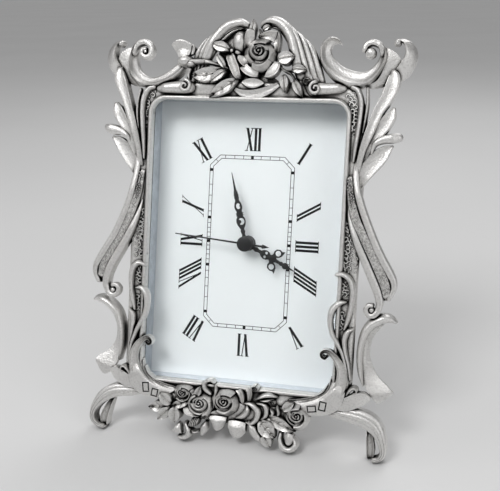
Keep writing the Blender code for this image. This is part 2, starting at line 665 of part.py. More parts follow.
def frame_casting(parent, pewter):
    casting = add("frame_casting", rail_ring(), pewter, parent)
    rim = prism(
        [
            rectangle(POCKET_HALF_WIDTH + RIM_WALL, POCKET_HALF_HEIGHT + RIM_WALL),
            rectangle(POCKET_HALF_WIDTH, POCKET_HALF_HEIGHT),
        ],
        -0.25 * RAIL_HEIGHT,
        BOARD_BACK,
    )
    boss_back = BOARD_BACK - 0.05 * MM
    bosses = [disc(BOSS_RADIUS, -0.3 * RAIL_HEIGHT, boss_back, (x, z)) for x, z, _ in tab_places()]
    ornament = crest() + garland()
    for side in (-1, 1):
        for make in (corner_scroll, leaf_sprig, side_ribbon, rail_tendrils, lower_corner, crest_wing):
            ornament += make(side)
    combine(casting, "UNION", [rim, *bosses, *ornament])
    hole_floor = TAB_FRONT + TAB_THICKNESS + GAP - SCREW_LENGTH - GAP
    holes = [disc(SCREW_RADIUS + FIT, hole_floor, BOARD_BACK + GAP, (x, z), 10) for x, z, _ in tab_places()]
    combine(casting, "DIFFERENCE", [floor_block(), *holes])


def glazing(parent, finishes):
    """Glass, spacer, dial and board, stacked in the casting's pocket."""
    half_width = POCKET_HALF_WIDTH - GAP
    half_height = POCKET_HALF_HEIGHT - GAP
    sheet = rectangle(half_width, half_height)
    hole = circle(BUSHING_RADIUS + GAP)
    well = rectangle(half_width - SPACER_WALL, half_height - SPACER_WALL)
    add("glass_pane", prism([sheet], GLASS_FRONT, GLASS_FRONT + GLASS_THICKNESS), finishes["glass"], parent)
    spacer = prism([sheet, well], SPACER_FRONT, SPACER_FRONT + SPACER_DEPTH)
    add("dial_spacer", spacer, finishes["bright"], parent)
    add("dial_plate", prism([sheet, hole], DIAL_FRONT, DIAL_FRONT + DIAL_THICKNESS), finishes["dial"], parent)
    add("back_board", prism([sheet, hole], BOARD_FRONT, BOARD_BACK), finishes["board"], parent)


def turn_tabs(parent, finishes):
    """Tabs that turn on screws in the casting's bosses and hold the board in."""
    end = TAB_WIDTH / 2
    reach = TAB_LENGTH - TAB_WIDTH
    outline = [polar((0, 0), end, math.pi * i / 6) for i in range(7)]
    outline += [polar((0, -reach), end, math.pi * (1 + i / 6)) for i in range(7)]
    blade = prism([outline, circle(SCREW_RADIUS + FIT, sides=10)], 0, TAB_THICKNESS)
    under_head = TAB_THICKNESS + GAP
    shank = disc(SCREW_RADIUS, under_head - SCREW_LENGTH, under_head + SCREW_HEAD_HEIGHT / 4, sides=10)
    head = disc(SCREW_HEAD_RADIUS, under_head, under_head + SCREW_HEAD_HEIGHT, sides=12)
    slot = prism(
        [rectangle(2 * SCREW_HEAD_RADIUS, 0.2 * SCREW_HEAD_RADIUS)],
        under_head + SCREW_HEAD_HEIGHT / 2,
        under_head + 2 * SCREW_HEAD_HEIGHT,
    )
    for number, (x, z, turn) in enumerate(tab_places(), 1):
        place = (x, TAB_FRONT, z)
        add(f"retaining_tab_{number}", blade, finishes["steel"], parent, place, (0, turn, 0))
        screw = add(f"tab_screw_{number}", head, finishes["steel"], parent, place)
        combine(screw, "UNION", [shank])
        combine(screw, "DIFFERENCE", [slot])


def easel(parent, finishes):
    """Hinge plate riveted to the board, its pin, and the strut that swings out to the floor."""
    front = BOARD_BACK + GAP
    top = BARREL_RADIUS + GAP
    drop = 3 * BARREL_RADIUS + 2 * RIVET_RADIUS
    rivet_reach = HINGE_WIDTH / 2 - RIVET_INSET
    rivets = [(side * rivet_reach, HINGE_HEIGHT - drop + 2 * RIVET_RADIUS) for side in (-1, 1)]
    outline = rectangle(HINGE_WIDTH / 2, (top + drop) / 2, (0, HINGE_HEIGHT + (top - drop) / 2))
    holes = [circle(RIVET_RADIUS + FIT, place, 10) for place in rivets]
    sheet = prism([outline, *holes], front, front + HINGE_SHEET)
    plate = add("hinge_plate", sheet, finishes["steel"], parent)
    ears = []
    for side in (-1, 1):
        outer = side * HINGE_WIDTH / 2
        inner = side * (HINGE_WIDTH / 2 - EAR_THICKNESS)
        axle = (HINGE_DEPTH, HINGE_HEIGHT)
        profile = [(front + HINGE_SHEET / 2, HINGE_HEIGHT - top), (HINGE_DEPTH, HINGE_HEIGHT - top)]
        profile += [polar(axle, top, math.pi * (i / 6 - 0.5)) for i in range(1, 6)]
        profile += [(HINGE_DEPTH, HINGE_HEIGHT + top), (front + HINGE_SHEET / 2, HINGE_HEIGHT + top)]
        shrink = 0.02 * MM * side
        bore = circle(PIN_RADIUS + FIT, axle, 10)
        ears.append(prism([profile, bore], inner, outer - shrink, "X"))
    combine(plate, "UNION", ears)
    half = HINGE_WIDTH / 2 + GAP
    pin = prism([circle(PIN_RADIUS, (HINGE_DEPTH, HINGE_HEIGHT), 10)], -half, half, "X")
    add("hinge_pin", pin, finishes["steel"], parent)
    for name, (x, z) in zip(("left", "right"), rivets):
        shank = disc(RIVET_RADIUS, BOARD_BACK + GAP, front + HINGE_SHEET + GAP + HINGE_SHEET / 2, (x, z), 10)
        head = disc(2 * RIVET_RADIUS, front + HINGE_SHEET + GAP, front + 2 * HINGE_SHEET, (x, z), 12)
        combine(add(f"hinge_rivet_{name}", head, finishes["steel"], parent), "UNION", [shank])
    strut_leg(parent, finishes)


def strut_leg(parent, finishes):
    """The strut hangs from its barrel and reaches the floor at its swing."""
    drop = (HINGE_HEIGHT - FLOOR_HEIGHT) * math.cos(LEAN) - HINGE_DEPTH * math.sin(LEAN)
    length = drop / math.cos(STRUT_SWING - LEAN) + STRUT_THICKNESS
    axis = empty("strut_axis", parent, (0, HINGE_DEPTH, HINGE_HEIGHT), (STRUT_SWING, 0, 0))
    barrel = prism(
        [circle(BARREL_RADIUS, sides=14), circle(PIN_RADIUS + FIT, sides=10)],
        -BARREL_LENGTH / 2,
        BARREL_LENGTH / 2,
        "X",
    )
    half_top = BARREL_LENGTH / 2 - GAP
    half_foot = STRUT_FOOT_WIDTH / 2
    start = -(BARREL_RADIUS + PIN_RADIUS + FIT) / 2
    outline = [
        (-half_top, start), (-half_top, -0.3 * length), (-half_foot, -0.8 * length), (-half_foot, -length),
        (half_foot, -length), (half_foot, -0.8 * length), (half_top, -0.3 * length), (half_top, start),
    ]
    leaf = prism([outline], -STRUT_THICKNESS / 2, STRUT_THICKNESS / 2)
    leg = combine(add("strut_leg", barrel, finishes["pewter"], axis), "UNION", [leaf])
    floor = add("strut_floor", floor_block(), finishes["pewter"], parent)
    floor.hide_render = True
    floor.display_type = "WIRE"
    trim = leg.modifiers.new("Floor", "BOOLEAN")
    trim.operation = "DIFFERENCE"
    trim.object = floor
    trim.solver = "EXACT"


def movement_case(parent, finishes):
    """Case with its bushing, gear chamber and open cell bay, then the cover."""
    half = CASE_SIDE / 2
    bore = BUSHING_RADIUS - BUSHING_WALL
    block = prism([rectangle(half, half)], CASE_FRONT, COVER_FRONT - GAP)
    case = add("movement_case", block, finishes["case"], parent)
    combine(case, "UNION", [disc(BUSHING_RADIUS, BUSHING_FRONT, CASE_FRONT + CASE_WALL / 2)])
    open_end = CASE_BACK + GAP
    chamber_middle = (CASE_INSIDE + CHAMBER_BOTTOM) / 2
    chamber = rectangle(CASE_INSIDE, CASE_INSIDE - chamber_middle, (0, chamber_middle))
    bay = rectangle(CASE_INSIDE, (BAY_TOP + CASE_INSIDE) / 2, (0, (BAY_TOP - CASE_INSIDE) / 2))
    pockets = [prism([chamber], CASE_FLOOR, open_end), prism([bay], CASE_FLOOR, open_end)]
    combine(case, "DIFFERENCE", [*pockets, disc(bore, BUSHING_FRONT - GAP, open_end)])
    stud = disc(STUD_RADIUS, CASE_FRONT + CASE_WALL / 2, CENTRE_LAYER - GAP, MOTION_AXIS, 10)
    posts = [
        disc(1.2 * MM, CASE_FRONT + CASE_WALL / 2, STATOR_FRONT - GAP, place, 10) for place in stator_posts()
    ]
    combine(case, "UNION", [stud, *posts])
    lid = rectangle(half, (half - BAY_TOP) / 2, (0, (half + BAY_TOP) / 2))
    knob_hole = circle(2 * ARBOR_RADIUS + FIT, KNOB_AXIS, 12)
    add("movement_cover", prism([lid, knob_hole], COVER_FRONT, CASE_BACK), finishes["case"], parent)


def stator_window():
    """Left, right, bottom and top of the stator's window, with its limbs around it."""
    left = STEP_AXIS[0] + 4 * MM
    right = CASE_INSIDE - 5.3 * MM
    return left, right, ROTOR_AXIS[1] + MAGNET_RADIUS + 3 * MM, CASE_INSIDE - 6.2 * MM


STATOR_LIMB = 3 * MM


def stator_posts():
    left, right, _, top = stator_window()
    return (left - STATOR_LIMB / 2, top + STATOR_LIMB / 2), (right + STATOR_LIMB / 2, ROTOR_AXIS[1])


def motor(parent, finishes):
    """Circuit board, stator with the coil on its upper limb, and the rotor in its hole."""
    left, right, bottom, top = stator_window()
    low = ROTOR_AXIS[1] - MAGNET_RADIUS - 2.4 * MM
    outline = [
        (left - STATOR_LIMB, low), (right + STATOR_LIMB, low),
        (right + STATOR_LIMB, top + STATOR_LIMB), (left - STATOR_LIMB, top + STATOR_LIMB),
    ]
    window = [(left, bottom), (right, bottom), (right, top), (left, top)]
    hole = circle(MAGNET_RADIUS + GAP, ROTOR_AXIS)
    stator = prism([outline, window, hole], STATOR_FRONT, STATOR_FRONT + STATOR_SHEET)
    add("stator", stator, finishes["steel"], parent)
    middle = (STATOR_FRONT + STATOR_SHEET / 2, top + STATOR_LIMB / 2)
    half = COIL_SIDE / 2
    coil = prism(
        [rectangle(half, half, middle), rectangle(STATOR_SHEET / 2 + GAP, STATOR_LIMB / 2 + GAP, middle)],
        left + GAP,
        right - GAP,
        "X",
    )
    add("coil", coil, finishes["copper"], parent)
    place = (-CASE_INSIDE + GAP + BOARD_LENGTH / 2, CASE_INSIDE - GAP - BOARD_HEIGHT / 2)
    sheet = rectangle(BOARD_LENGTH / 2, BOARD_HEIGHT / 2, place)
    board = prism([sheet], ARBOR_FRONT, ARBOR_FRONT + BOARD_SHEET)
    add("circuit_board", board, finishes["resin"], parent)


def arbor(name, axis, finish, parent, pieces, front=ARBOR_FRONT, back=ARBOR_BACK):
    """A turning piece whose origin is on its own axis: wheels and pinions on one arbor."""
    place = (axis[0], 0, axis[1])
    shaft = disc(ARBOR_RADIUS, front, back, sides=10)
    return combine(add(name, shaft, finish, parent, place), "UNION", pieces)


def meshed(teeth, module, distance_angle, other_phase, other_teeth, start, end):
    """A gear whose tooth gap faces a tooth of its partner. The angle points from it to the partner."""
    pitch = math.tau / teeth
    lag = (other_phase - (distance_angle + math.pi)) / (math.tau / other_teeth)
    phase = distance_angle + (0.5 - lag) * pitch
    return gear(teeth, module, phase, start, end)


def going_train(parent, finishes):
    """Rotor, step wheel, seconds wheel, third wheel and centre wheel."""
    brass, white = finishes["brass"], finishes["gear"]
    half = WHEEL_THICKNESS / 2
    seconds_back = SECONDS_LAYER + WHEEL_THICKNESS
    step_back = STEP_LAYER + WHEEL_THICKNESS
    third_back = THIRD_LAYER + WHEEL_THICKNESS
    lead = (PINION_LENGTH - WHEEL_THICKNESS) / 2
    shaft = disc(SECONDS_SHAFT_RADIUS, SECOND_HAND_FRONT + HAND_THICKNESS / 2, ARBOR_BACK, sides=10)
    seconds = add("seconds_wheel", shaft, white, parent)
    combine(seconds, "UNION", [
        gear(SECONDS_WHEEL_TEETH, STEP_MODULE, STEP_DIRECTION, SECONDS_LAYER, seconds_back),
        gear(SECONDS_PINION_TEETH, THIRD_MODULE, THIRD_DIRECTION, THIRD_LAYER - lead, SECONDS_LAYER + half),
    ])
    arbor("step_wheel", STEP_AXIS, white, parent, [
        meshed(
            STEP_PINION_TEETH, STEP_MODULE, STEP_DIRECTION + math.pi, STEP_DIRECTION, SECONDS_WHEEL_TEETH,
            SECONDS_LAYER - lead, STEP_LAYER + half,
        ),
        gear(STEP_WHEEL_TEETH, ROTOR_MODULE, ROTOR_DIRECTION, STEP_LAYER, step_back),
    ])
    arbor("rotor", ROTOR_AXIS, finishes["magnet"], parent, [
        meshed(
            ROTOR_PINION_TEETH, ROTOR_MODULE, ROTOR_DIRECTION + math.pi, ROTOR_DIRECTION, STEP_WHEEL_TEETH,
            STATOR_FRONT, step_back + lead,
        ),
        disc(MAGNET_RADIUS, STATOR_FRONT - MAGNET_LENGTH / 4, STATOR_FRONT + 3 * MAGNET_LENGTH / 4, sides=14),
    ])
    arbor("third_wheel", THIRD_AXIS, white, parent, [
        meshed(
            THIRD_WHEEL_TEETH, THIRD_MODULE, THIRD_DIRECTION + math.pi, THIRD_DIRECTION, SECONDS_PINION_TEETH,
            THIRD_LAYER, third_back,
        ),
        gear(
            THIRD_PINION_TEETH, CENTRE_MODULE, THIRD_DIRECTION + math.pi, CENTRE_LAYER - lead,
            THIRD_LAYER + half,
        ),
    ])
    phase = THIRD_DIRECTION + math.pi / CENTRE_WHEEL_TEETH
    centre = gear(
        CENTRE_WHEEL_TEETH, CENTRE_MODULE, phase, CENTRE_LAYER, CENTRE_LAYER + WHEEL_THICKNESS,
        bore=MINUTE_TUBE_RADIUS + FIT,
    )
    add("centre_wheel", centre, brass, parent)


def motion_work(parent, finishes):
    """Cannon pinion with the minute tube, motion wheel, hour wheel with its tube, and the setting knob."""
    white, brass = finishes["gear"], finishes["brass"]
    half = WHEEL_THICKNESS / 2
    lead = (PINION_LENGTH - WHEEL_THICKNESS) / 2
    minute_bore = MINUTE_TUBE_RADIUS - TUBE_WALL
    minute_front = MINUTE_HAND_FRONT - GAP
    minute_back = CENTRE_LAYER + WHEEL_THICKNESS + GAP
    tube_middle = MINUTE_TUBE_RADIUS - TUBE_WALL / 2
    pinion = gear(
        CANNON_PINION_TEETH, CANNON_MODULE, MOTION_DIRECTION, MOTION_LAYER - lead,
        MOTION_LAYER + WHEEL_THICKNESS + lead, bore=tube_middle,
    )
    minute_tube = tube(MINUTE_TUBE_RADIUS, minute_bore, minute_front, minute_back)
    cannon = add("cannon_pinion", minute_tube, brass, parent)
    combine(cannon, "UNION", [pinion])
    facing = MOTION_DIRECTION + math.pi
    wheel_pitch = math.tau / MOTION_WHEEL_TEETH
    phase = facing + wheel_pitch / 2
    place = (MOTION_AXIS[0], 0, MOTION_AXIS[1])
    stud_hole = STUD_RADIUS + FIT
    wheel_back = MOTION_LAYER + WHEEL_THICKNESS
    hub = tube(stud_hole + STUD_HUB_WALL, stud_hole, HOUR_LAYER, wheel_back + lead, sides=12)
    motion = add("motion_wheel", hub, white, parent, place)
    combine(motion, "UNION", [
        gear(
            MOTION_WHEEL_TEETH, CANNON_MODULE, phase, MOTION_LAYER, wheel_back,
            bore=stud_hole + STUD_HUB_WALL / 2,
        ),
        gear(
            MOTION_PINION_TEETH, HOUR_MODULE, facing, HOUR_LAYER - lead / 2, MOTION_LAYER + half,
            bore=stud_hole + STUD_HUB_WALL / 4,
        ),
    ])
    hour_bore = HOUR_TUBE_RADIUS - TUBE_WALL
    hour_back = HOUR_LAYER + WHEEL_THICKNESS + lead / 2
    hour_tube = tube(HOUR_TUBE_RADIUS, hour_bore, HOUR_HAND_FRONT - GAP, hour_back)
    hour = add("hour_wheel", hour_tube, white, parent)
    hour_phase = MOTION_DIRECTION + math.pi / HOUR_WHEEL_TEETH
    combine(hour, "UNION", [
        gear(
            HOUR_WHEEL_TEETH, HOUR_MODULE, hour_phase, HOUR_LAYER, HOUR_LAYER + WHEEL_THICKNESS,
            bore=HOUR_TUBE_RADIUS - TUBE_WALL / 2,
        ),
    ])
    setting_knob(parent, finishes, phase)


def setting_knob(parent, finishes, motion_phase):
    """A ribbed knob behind the cover, whose pinion reaches the motion wheel."""
    front = MOTION_LAYER - GAP
    stem = disc(2 * ARBOR_RADIUS, front, CASE_BACK + GAP + KNOB_HEIGHT / 2, sides=12)
    place = (KNOB_AXIS[0], 0, KNOB_AXIS[1])
    ribs = 18
    grip = []
    for i in range(2 * ribs):
        grip.append(polar((0, 0), KNOB_RADIUS * (1 - 0.06 * (i % 2)), math.pi * i / ribs))
    pinion = meshed(
        KNOB_PINION_TEETH, CANNON_MODULE, KNOB_DIRECTION + math.pi, motion_phase, MOTION_WHEEL_TEETH,
        front, MOTION_LAYER + WHEEL_THICKNESS + GAP,
    )
    cap = prism([grip], CASE_BACK + GAP, CASE_BACK + GAP + KNOB_HEIGHT)
    knob = add("setting_knob", cap, finishes["case"], parent, place)
    combine(knob, "UNION", [stem, pinion])


def cell_and_contacts(parent, finishes):
    """The AA cell in its bay, the flat contact at its nub and the bowed spring at its other end."""
    axis = (CELL_DEPTH, CELL_HEIGHT)
    half = CELL_LENGTH / 2
    place = (0, CELL_DEPTH, CELL_HEIGHT)
    body = prism([circle(CELL_RADIUS, sides=24)], -half, half, "X")
    nub = prism([circle(CELL_NUB_RADIUS, sides=12)], half - CELL_NUB_LENGTH, half + CELL_NUB_LENGTH, "X")
    combine(add("aa_cell", body, finishes["cell"], parent, place), "UNION", [nub])
    depth, height = CELL_DEPTH, CELL_HEIGHT
    tip = half + CELL_NUB_LENGTH + GAP
    positive = rectangle(CONTACT_WIDTH / 2, CONTACT_WIDTH / 2, axis)
    add("contact_positive", prism([positive], tip, CASE_INSIDE - FIT / 2, "X"), finishes["bright"], parent)
    wall = -CASE_INSIDE + FIT
    bow = -half - GAP
    spread = CONTACT_WIDTH / 2
    strip = [
        (wall, height - spread), (wall + CONTACT_THICKNESS, height - spread), (bow, height - spread / 3),
        (bow, height + spread / 3), (wall + CONTACT_THICKNESS, height + spread), (wall, height + spread),
    ]
    negative = prism([strip], depth - CONTACT_WIDTH / 2, depth + CONTACT_WIDTH / 2)
    add("contact_negative", negative, finishes["bright"], parent)


def mirrored(half_outline):
    """A closed outline from its right-hand points, which run from the bottom to the top."""
    return half_outline + [(-x, z) for x, z in reversed(half_outline) if x > 0]


def hub_arc(radius, low, high, steps=5):
    """Right-hand points of a hub between two angles from straight down."""
    angles = [low + (high - low) * i / steps for i in range(steps + 1)]
    return [(radius * math.sin(a), -radius * math.cos(a)) for a in angles]


def hands(parent, finishes):
    """Pierced hour and minute hands, and the second hand with its arrow tail and cap."""
    black = finishes["black"]
    waist = math.radians(165)
    hour_outline = mirrored(hub_arc(HUB_RADIUS, 0, waist) + [
        (0.9 * MM, 7 * MM), (2 * MM, 9.4 * MM), (2 * MM, 11.2 * MM), (1.4 * MM, 12.6 * MM),
        (2.6 * MM, 13.1 * MM), (4.4 * MM, 13.8 * MM), (5 * MM, 15.1 * MM), (4.3 * MM, 16.5 * MM),
        (2.8 * MM, 16.8 * MM), (0.8 * MM, 15.6 * MM), (0.7 * MM, 17.6 * MM), (1.3 * MM, 19.4 * MM),
        (1.1 * MM, 21 * MM), (0.1 * MM, HOUR_HAND_LENGTH),
    ])
    hour_loops = []
    for side in (-1, 1):
        hour_loops.append(circle(0.55 * MM, (side * 0.95 * MM, 10.4 * MM), 8))
        hour_loops.append(circle(1 * MM, (side * 3.3 * MM, 15 * MM), 10))
    hour = prism(
        [hour_outline, circle(HOUR_TUBE_RADIUS + FIT), *hour_loops],
        HOUR_HAND_FRONT, HOUR_HAND_FRONT + HAND_THICKNESS,
    )
    add("hour_hand", hour, black, parent, rotation=(0, HOUR_ANGLE, 0))
    minute_outline = mirrored(hub_arc(HUB_RADIUS, 0, waist) + [
        (0.9 * MM, 6.6 * MM), (1.8 * MM, 8.4 * MM), (2.3 * MM, 10.2 * MM), (1.7 * MM, 12.2 * MM),
        (0.9 * MM, 13.6 * MM), (1.5 * MM, 15 * MM), (1.9 * MM, 16.8 * MM), (1.4 * MM, 18.6 * MM),
        (0.8 * MM, 20 * MM), (1.1 * MM, 22.3 * MM), (0.7 * MM, 24 * MM), (0.1 * MM, MINUTE_HAND_LENGTH),
    ])
    minute_loops = [circle(r * MM, (0, z * MM), 10) for z, r in ((10.2, 1.4), (16.8, 1.1))]
    minute = prism(
        [minute_outline, circle(MINUTE_TUBE_RADIUS + FIT, sides=12), *minute_loops],
        MINUTE_HAND_FRONT, MINUTE_HAND_FRONT + HAND_THICKNESS,
    )
    add("minute_hand", minute, black, parent, rotation=(0, MINUTE_ANGLE, 0))
    barb = 1 * MM
    stem = 0.45 * MM
    tail = -SECOND_TAIL_LENGTH
    blade_outline = mirrored([
        (0, tail), (barb, tail + 3 * barb), (stem, tail + 4 * barb), (stem, 0),
        (0.15 * MM, SECOND_HAND_LENGTH),
    ])
    blade = prism([blade_outline], SECOND_HAND_FRONT, SECOND_HAND_FRONT + HAND_THICKNESS)
    cap = disc(HUB_RADIUS, SECOND_HAND_FRONT - CAP_HEIGHT, SECOND_HAND_FRONT + 0.7 * HAND_THICKNESS, sides=20)
    second = add("second_hand", cap, black, parent, rotation=(0, SECOND_ANGLE, 0))
    combine(second, "UNION", [blade])
    socket_back = SECOND_HAND_FRONT + 2 * HAND_THICKNESS
    socket = disc(SECONDS_SHAFT_RADIUS + FIT, SECOND_HAND_FRONT, socket_back, sides=10)
    combine(second, "DIFFERENCE", [socket])


def stand_on_floor(clock):
    """Puts the origin on the floor, under the middle of the whole clock."""
    bpy.context.view_layer.update()
    graph = bpy.context.evaluated_depsgraph_get()
    corners = []
    for obj in bpy.context.scene.objects:
        if obj.type == "MESH" and not obj.hide_render:
            placed = obj.evaluated_get(graph)
            corners += [placed.matrix_world @ vert.co for vert in placed.data.vertices]
    corners = np.array(corners)
    middle = (corners.min(axis=0) + corners.max(axis=0)) / 2
    clock.location = Matrix.Translation((-middle[0], -middle[1], 0)) @ clock.location
    bpy.context.view_layer.update()


def main():
    clear_scene()
    finishes = {
        "pewter": material("antique pewter", (0.55, 0.53, 0.5), 0.35, 1.0),
        "glass": material("clear glass", (0.95, 0.97, 0.97), 0.05, 0.0),
        "bright": material("bright sheet metal", (0.68, 0.7, 0.73), 0.2, 1.0),
        "dial": material("white dial enamel", (0.88, 0.89, 0.9), 0.45, 0.0),
        "board": material("black board", (0.03, 0.03, 0.032), 0.9, 0.0),
        "steel": material("plated steel", (0.6, 0.6, 0.6), 0.35, 1.0),
        "brass": material("brass", (0.75, 0.58, 0.3), 0.3, 1.0),
        "case": material("black moulded plastic", (0.025, 0.025, 0.028), 0.5, 0.0),
        "gear": material("white moulded plastic", (0.82, 0.82, 0.8), 0.45, 0.0),
        "magnet": material("magnet", (0.18, 0.18, 0.19), 0.4, 0.6),
        "copper": material("copper winding", (0.66, 0.32, 0.17), 0.35, 1.0),
        "resin": material("green circuit board", (0.07, 0.24, 0.12), 0.5, 0.0),
        "cell": material("plain cell sleeve", (0.1, 0.12, 0.16), 0.35, 0.2),
        "black": material("black hand lacquer", (0.015, 0.015, 0.017), 0.4, 0.0),
    }
    clock = empty("clock", rotation=(-LEAN, 0, 0))
    clock.location = (0, 0, -FLOOR_HEIGHT * math.cos(LEAN))
    frame_casting(clock, finishes["pewter"])
    glazing(clock, finishes)
    turn_tabs(clock, finishes)
    easel(clock, finishes)
    movement_case(clock, finishes)
    motor(clock, finishes)
    going_train(clock, finishes)
    motion_work(clock, finishes)
    cell_and_contacts(clock, finishes)
    hands(clock, finishes)
    stand_on_floor(clock)


main()
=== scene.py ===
# %% [markdown]
# # A cast table clock with roses and scrolls
#
# This lesson dresses a small table clock. Its frame is one antique pewter casting: moulded rails, corner
# scrolls, side ribbons, leaves, a crest of flowers and a garland. Behind its glass is a white dial with Roman
# numerals, and behind that a board, a quartz movement and an easel strut.
#
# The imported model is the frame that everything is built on. It says where the hand axis is and how far the
# clock leans back, so those are read from it and not typed again. All shapes are then drawn on the upright
# clock, in millimetres: x to the right, y to the back, z up, from the hand axis.

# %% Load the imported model
import json
import math

import bmesh
import bpy
import numpy as np
from mathutils import Matrix, Vector


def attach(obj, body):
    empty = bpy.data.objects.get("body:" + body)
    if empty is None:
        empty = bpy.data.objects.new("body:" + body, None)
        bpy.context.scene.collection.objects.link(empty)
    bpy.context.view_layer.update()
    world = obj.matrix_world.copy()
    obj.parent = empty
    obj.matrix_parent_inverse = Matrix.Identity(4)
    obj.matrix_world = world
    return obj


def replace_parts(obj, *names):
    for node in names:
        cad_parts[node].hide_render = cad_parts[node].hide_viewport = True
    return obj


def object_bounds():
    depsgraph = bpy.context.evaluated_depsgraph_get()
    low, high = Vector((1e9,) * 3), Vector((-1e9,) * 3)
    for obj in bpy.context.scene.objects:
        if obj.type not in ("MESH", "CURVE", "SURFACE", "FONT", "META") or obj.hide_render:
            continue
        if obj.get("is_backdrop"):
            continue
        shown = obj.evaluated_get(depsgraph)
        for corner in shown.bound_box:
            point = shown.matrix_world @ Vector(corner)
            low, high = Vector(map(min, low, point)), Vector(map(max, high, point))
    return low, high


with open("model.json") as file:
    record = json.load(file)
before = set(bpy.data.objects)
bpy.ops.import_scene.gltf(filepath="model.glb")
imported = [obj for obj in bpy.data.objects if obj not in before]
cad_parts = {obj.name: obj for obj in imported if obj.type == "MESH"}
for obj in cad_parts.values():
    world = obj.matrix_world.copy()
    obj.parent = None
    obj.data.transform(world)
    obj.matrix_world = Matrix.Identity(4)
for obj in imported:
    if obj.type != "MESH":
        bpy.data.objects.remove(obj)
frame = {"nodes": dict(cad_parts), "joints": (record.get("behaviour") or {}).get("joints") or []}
cad_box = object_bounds()
MM = 0.001
DIAL_FRONT = 11.4

hand_joint = next(j for j in frame["joints"] if j["name"] == "second_hand_turn")
depth_axis = Vector(hand_joint["axis"]).normalized()
side_axis = Vector((1, 0, 0))
rise_axis = side_axis.cross(depth_axis)
clock_origin = Vector(hand_joint["pos_m"]) - depth_axis * DIAL_FRONT * MM
clock_turn = Matrix((side_axis, depth_axis, rise_axis)).transposed()
CLOCK = Matrix.Translation(clock_origin) @ clock_turn.to_4x4() @ Matrix.Scale(MM, 4)
LEAN = math.asin(-depth_axis.z)
print("leans back", round(math.degrees(LEAN), 1), "degrees")

# %% [markdown]
# ## Camera, floor and light
#
# The camera stands to the right of the clock and looks down on it. Its place was worked out from the dial:
# the printed track is a rectangle with clipped corners, so it fixes the view. The floor is plain and pale. A
# soft lamp from the upper left draws bright lines along the casting's ridges, weak ones from both sides open
# the shadows, and one from behind lights the back. The sky has a dark band above the horizon, because metal
# looks like metal only when it has both bright and dark things to reflect.

# %% Camera
CAMERA_PLACE = (84.7, -339.7, 22.3)
CAMERA_AZIMUTH, CAMERA_ELEVATION, CAMERA_ROLL = 14.15, 18.27, -0.79
FOCAL_LENGTH, SENSOR_WIDTH = 57.6, 36


def show(name, data):
    """An object for a mesh, a curve, a lamp or a camera, linked to the scene."""
    made = bpy.data.objects.new(name, data)
    bpy.context.scene.collection.objects.link(made)
    return made


def rotation(degrees, axis):
    return Matrix.Rotation(math.radians(degrees), 4, axis)


camera_data = bpy.data.cameras.new("camera")
camera_data.sensor_width = SENSOR_WIDTH
camera_data.lens = FOCAL_LENGTH
camera_data.clip_start = 0.01
camera = show("camera", camera_data)
camera.matrix_world = (
    Matrix.Translation(CLOCK @ Vector(CAMERA_PLACE))
    @ rotation(CAMERA_AZIMUTH, "Z") @ rotation(90 - CAMERA_ELEVATION, "X") @ rotation(CAMERA_ROLL, "Z")
)
bpy.context.scene.camera = camera
bpy.context.scene.view_settings.view_transform = "Standard"
print("camera at", [round(v, 3) for v in camera.location])


# %% Small helpers for node trees
def set_inputs(made, **sockets):
    """Sets a node's inputs. An underscore in a name stands for a space."""
    for name, value in sockets.items():
        made.inputs[name.replace("_", " ")].default_value = value
    return made


def node(tree, kind, settings=None, **sockets):
    """A new node. Its settings come first, because some of them decide which inputs there are."""
    made = tree.nodes.new(kind)
    for name, value in (settings or {}).items():
        setattr(made, name, value)
    return set_inputs(made, **sockets)


def join(tree, *links):
    """Links between nodes, each as (from node, output, to node, input)."""
    for source, out, target, into in links:
        tree.links.new(source.outputs[out], target.inputs[into])


def new_material(name, **sockets):
    """A material, its node tree and its one shader."""
    finish = bpy.data.materials.new(name)
    finish.use_nodes = True
    return finish, finish.node_tree, set_inputs(finish.node_tree.nodes["Principled BSDF"], **sockets)


def ramp(tree, source, *stops):
    """A colour ramp on a value, with its stops as (position, colour or grey)."""
    made = tree.nodes.new("ShaderNodeValToRGB")
    elements = made.color_ramp.elements
    while len(elements) < len(stops):
        elements.new(0.5)
    for element, (position, colour) in zip(elements, stops):
        element.position = position
        element.color = (colour, colour, colour, 1) if isinstance(colour, (int, float)) else (*colour, 1)
    tree.links.new(source, made.inputs["Fac"])
    return made.outputs["Color"]


def paint(tree, shader, socket, source, *stops):
    """Drives an input of a shader through a colour ramp."""
    tree.links.new(ramp(tree, source, *stops), shader.inputs[socket])


def noise(tree, scale, detail=3.0):
    """Noise on the piece's own coordinates. The scale is in features per metre."""
    place = tree.nodes.new("ShaderNodeTexCoord")
    made = node(tree, "ShaderNodeTexNoise", Scale=scale, Detail=detail)
    join(tree, (place, "Object", made, "Vector"))
    return made.outputs["Fac"]


def bump(tree, shader, height, strength, distance):
    """Fine relief on a shader."""
    made = node(tree, "ShaderNodeBump", Strength=strength, Distance=distance)
    tree.links.new(height, made.inputs["Height"])
    join(tree, (made, "Normal", shader, "Normal"))


# %% Floor
FLOOR_HALF = 40.0
CORNERS = ((1, 1), (-1, 1), (-1, -1), (1, -1))
floor_mesh = bpy.data.meshes.new("floor")
floor_mesh.from_pydata([(x * FLOOR_HALF, y * FLOOR_HALF, 0) for x, y in CORNERS], [], [(0, 1, 2, 3)])
floor = show("floor", floor_mesh)
floor_finish, tree, shader = new_material("pale_floor", Roughness=0.7, Specular_IOR_Level=0.2)
paint(tree, shader, "Base Color", noise(tree, 3.0), (0.3, 0.78), (0.7, 0.81))
floor_mesh.materials.append(floor_finish)
floor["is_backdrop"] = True

# %% Sky and lamps
SKY_STRENGTH = 0.6
SKY_STOPS = ((0.0, 0.8), (0.03, 0.6), (0.12, 0.2), (0.5, 0.42), (1.0, 1.0))
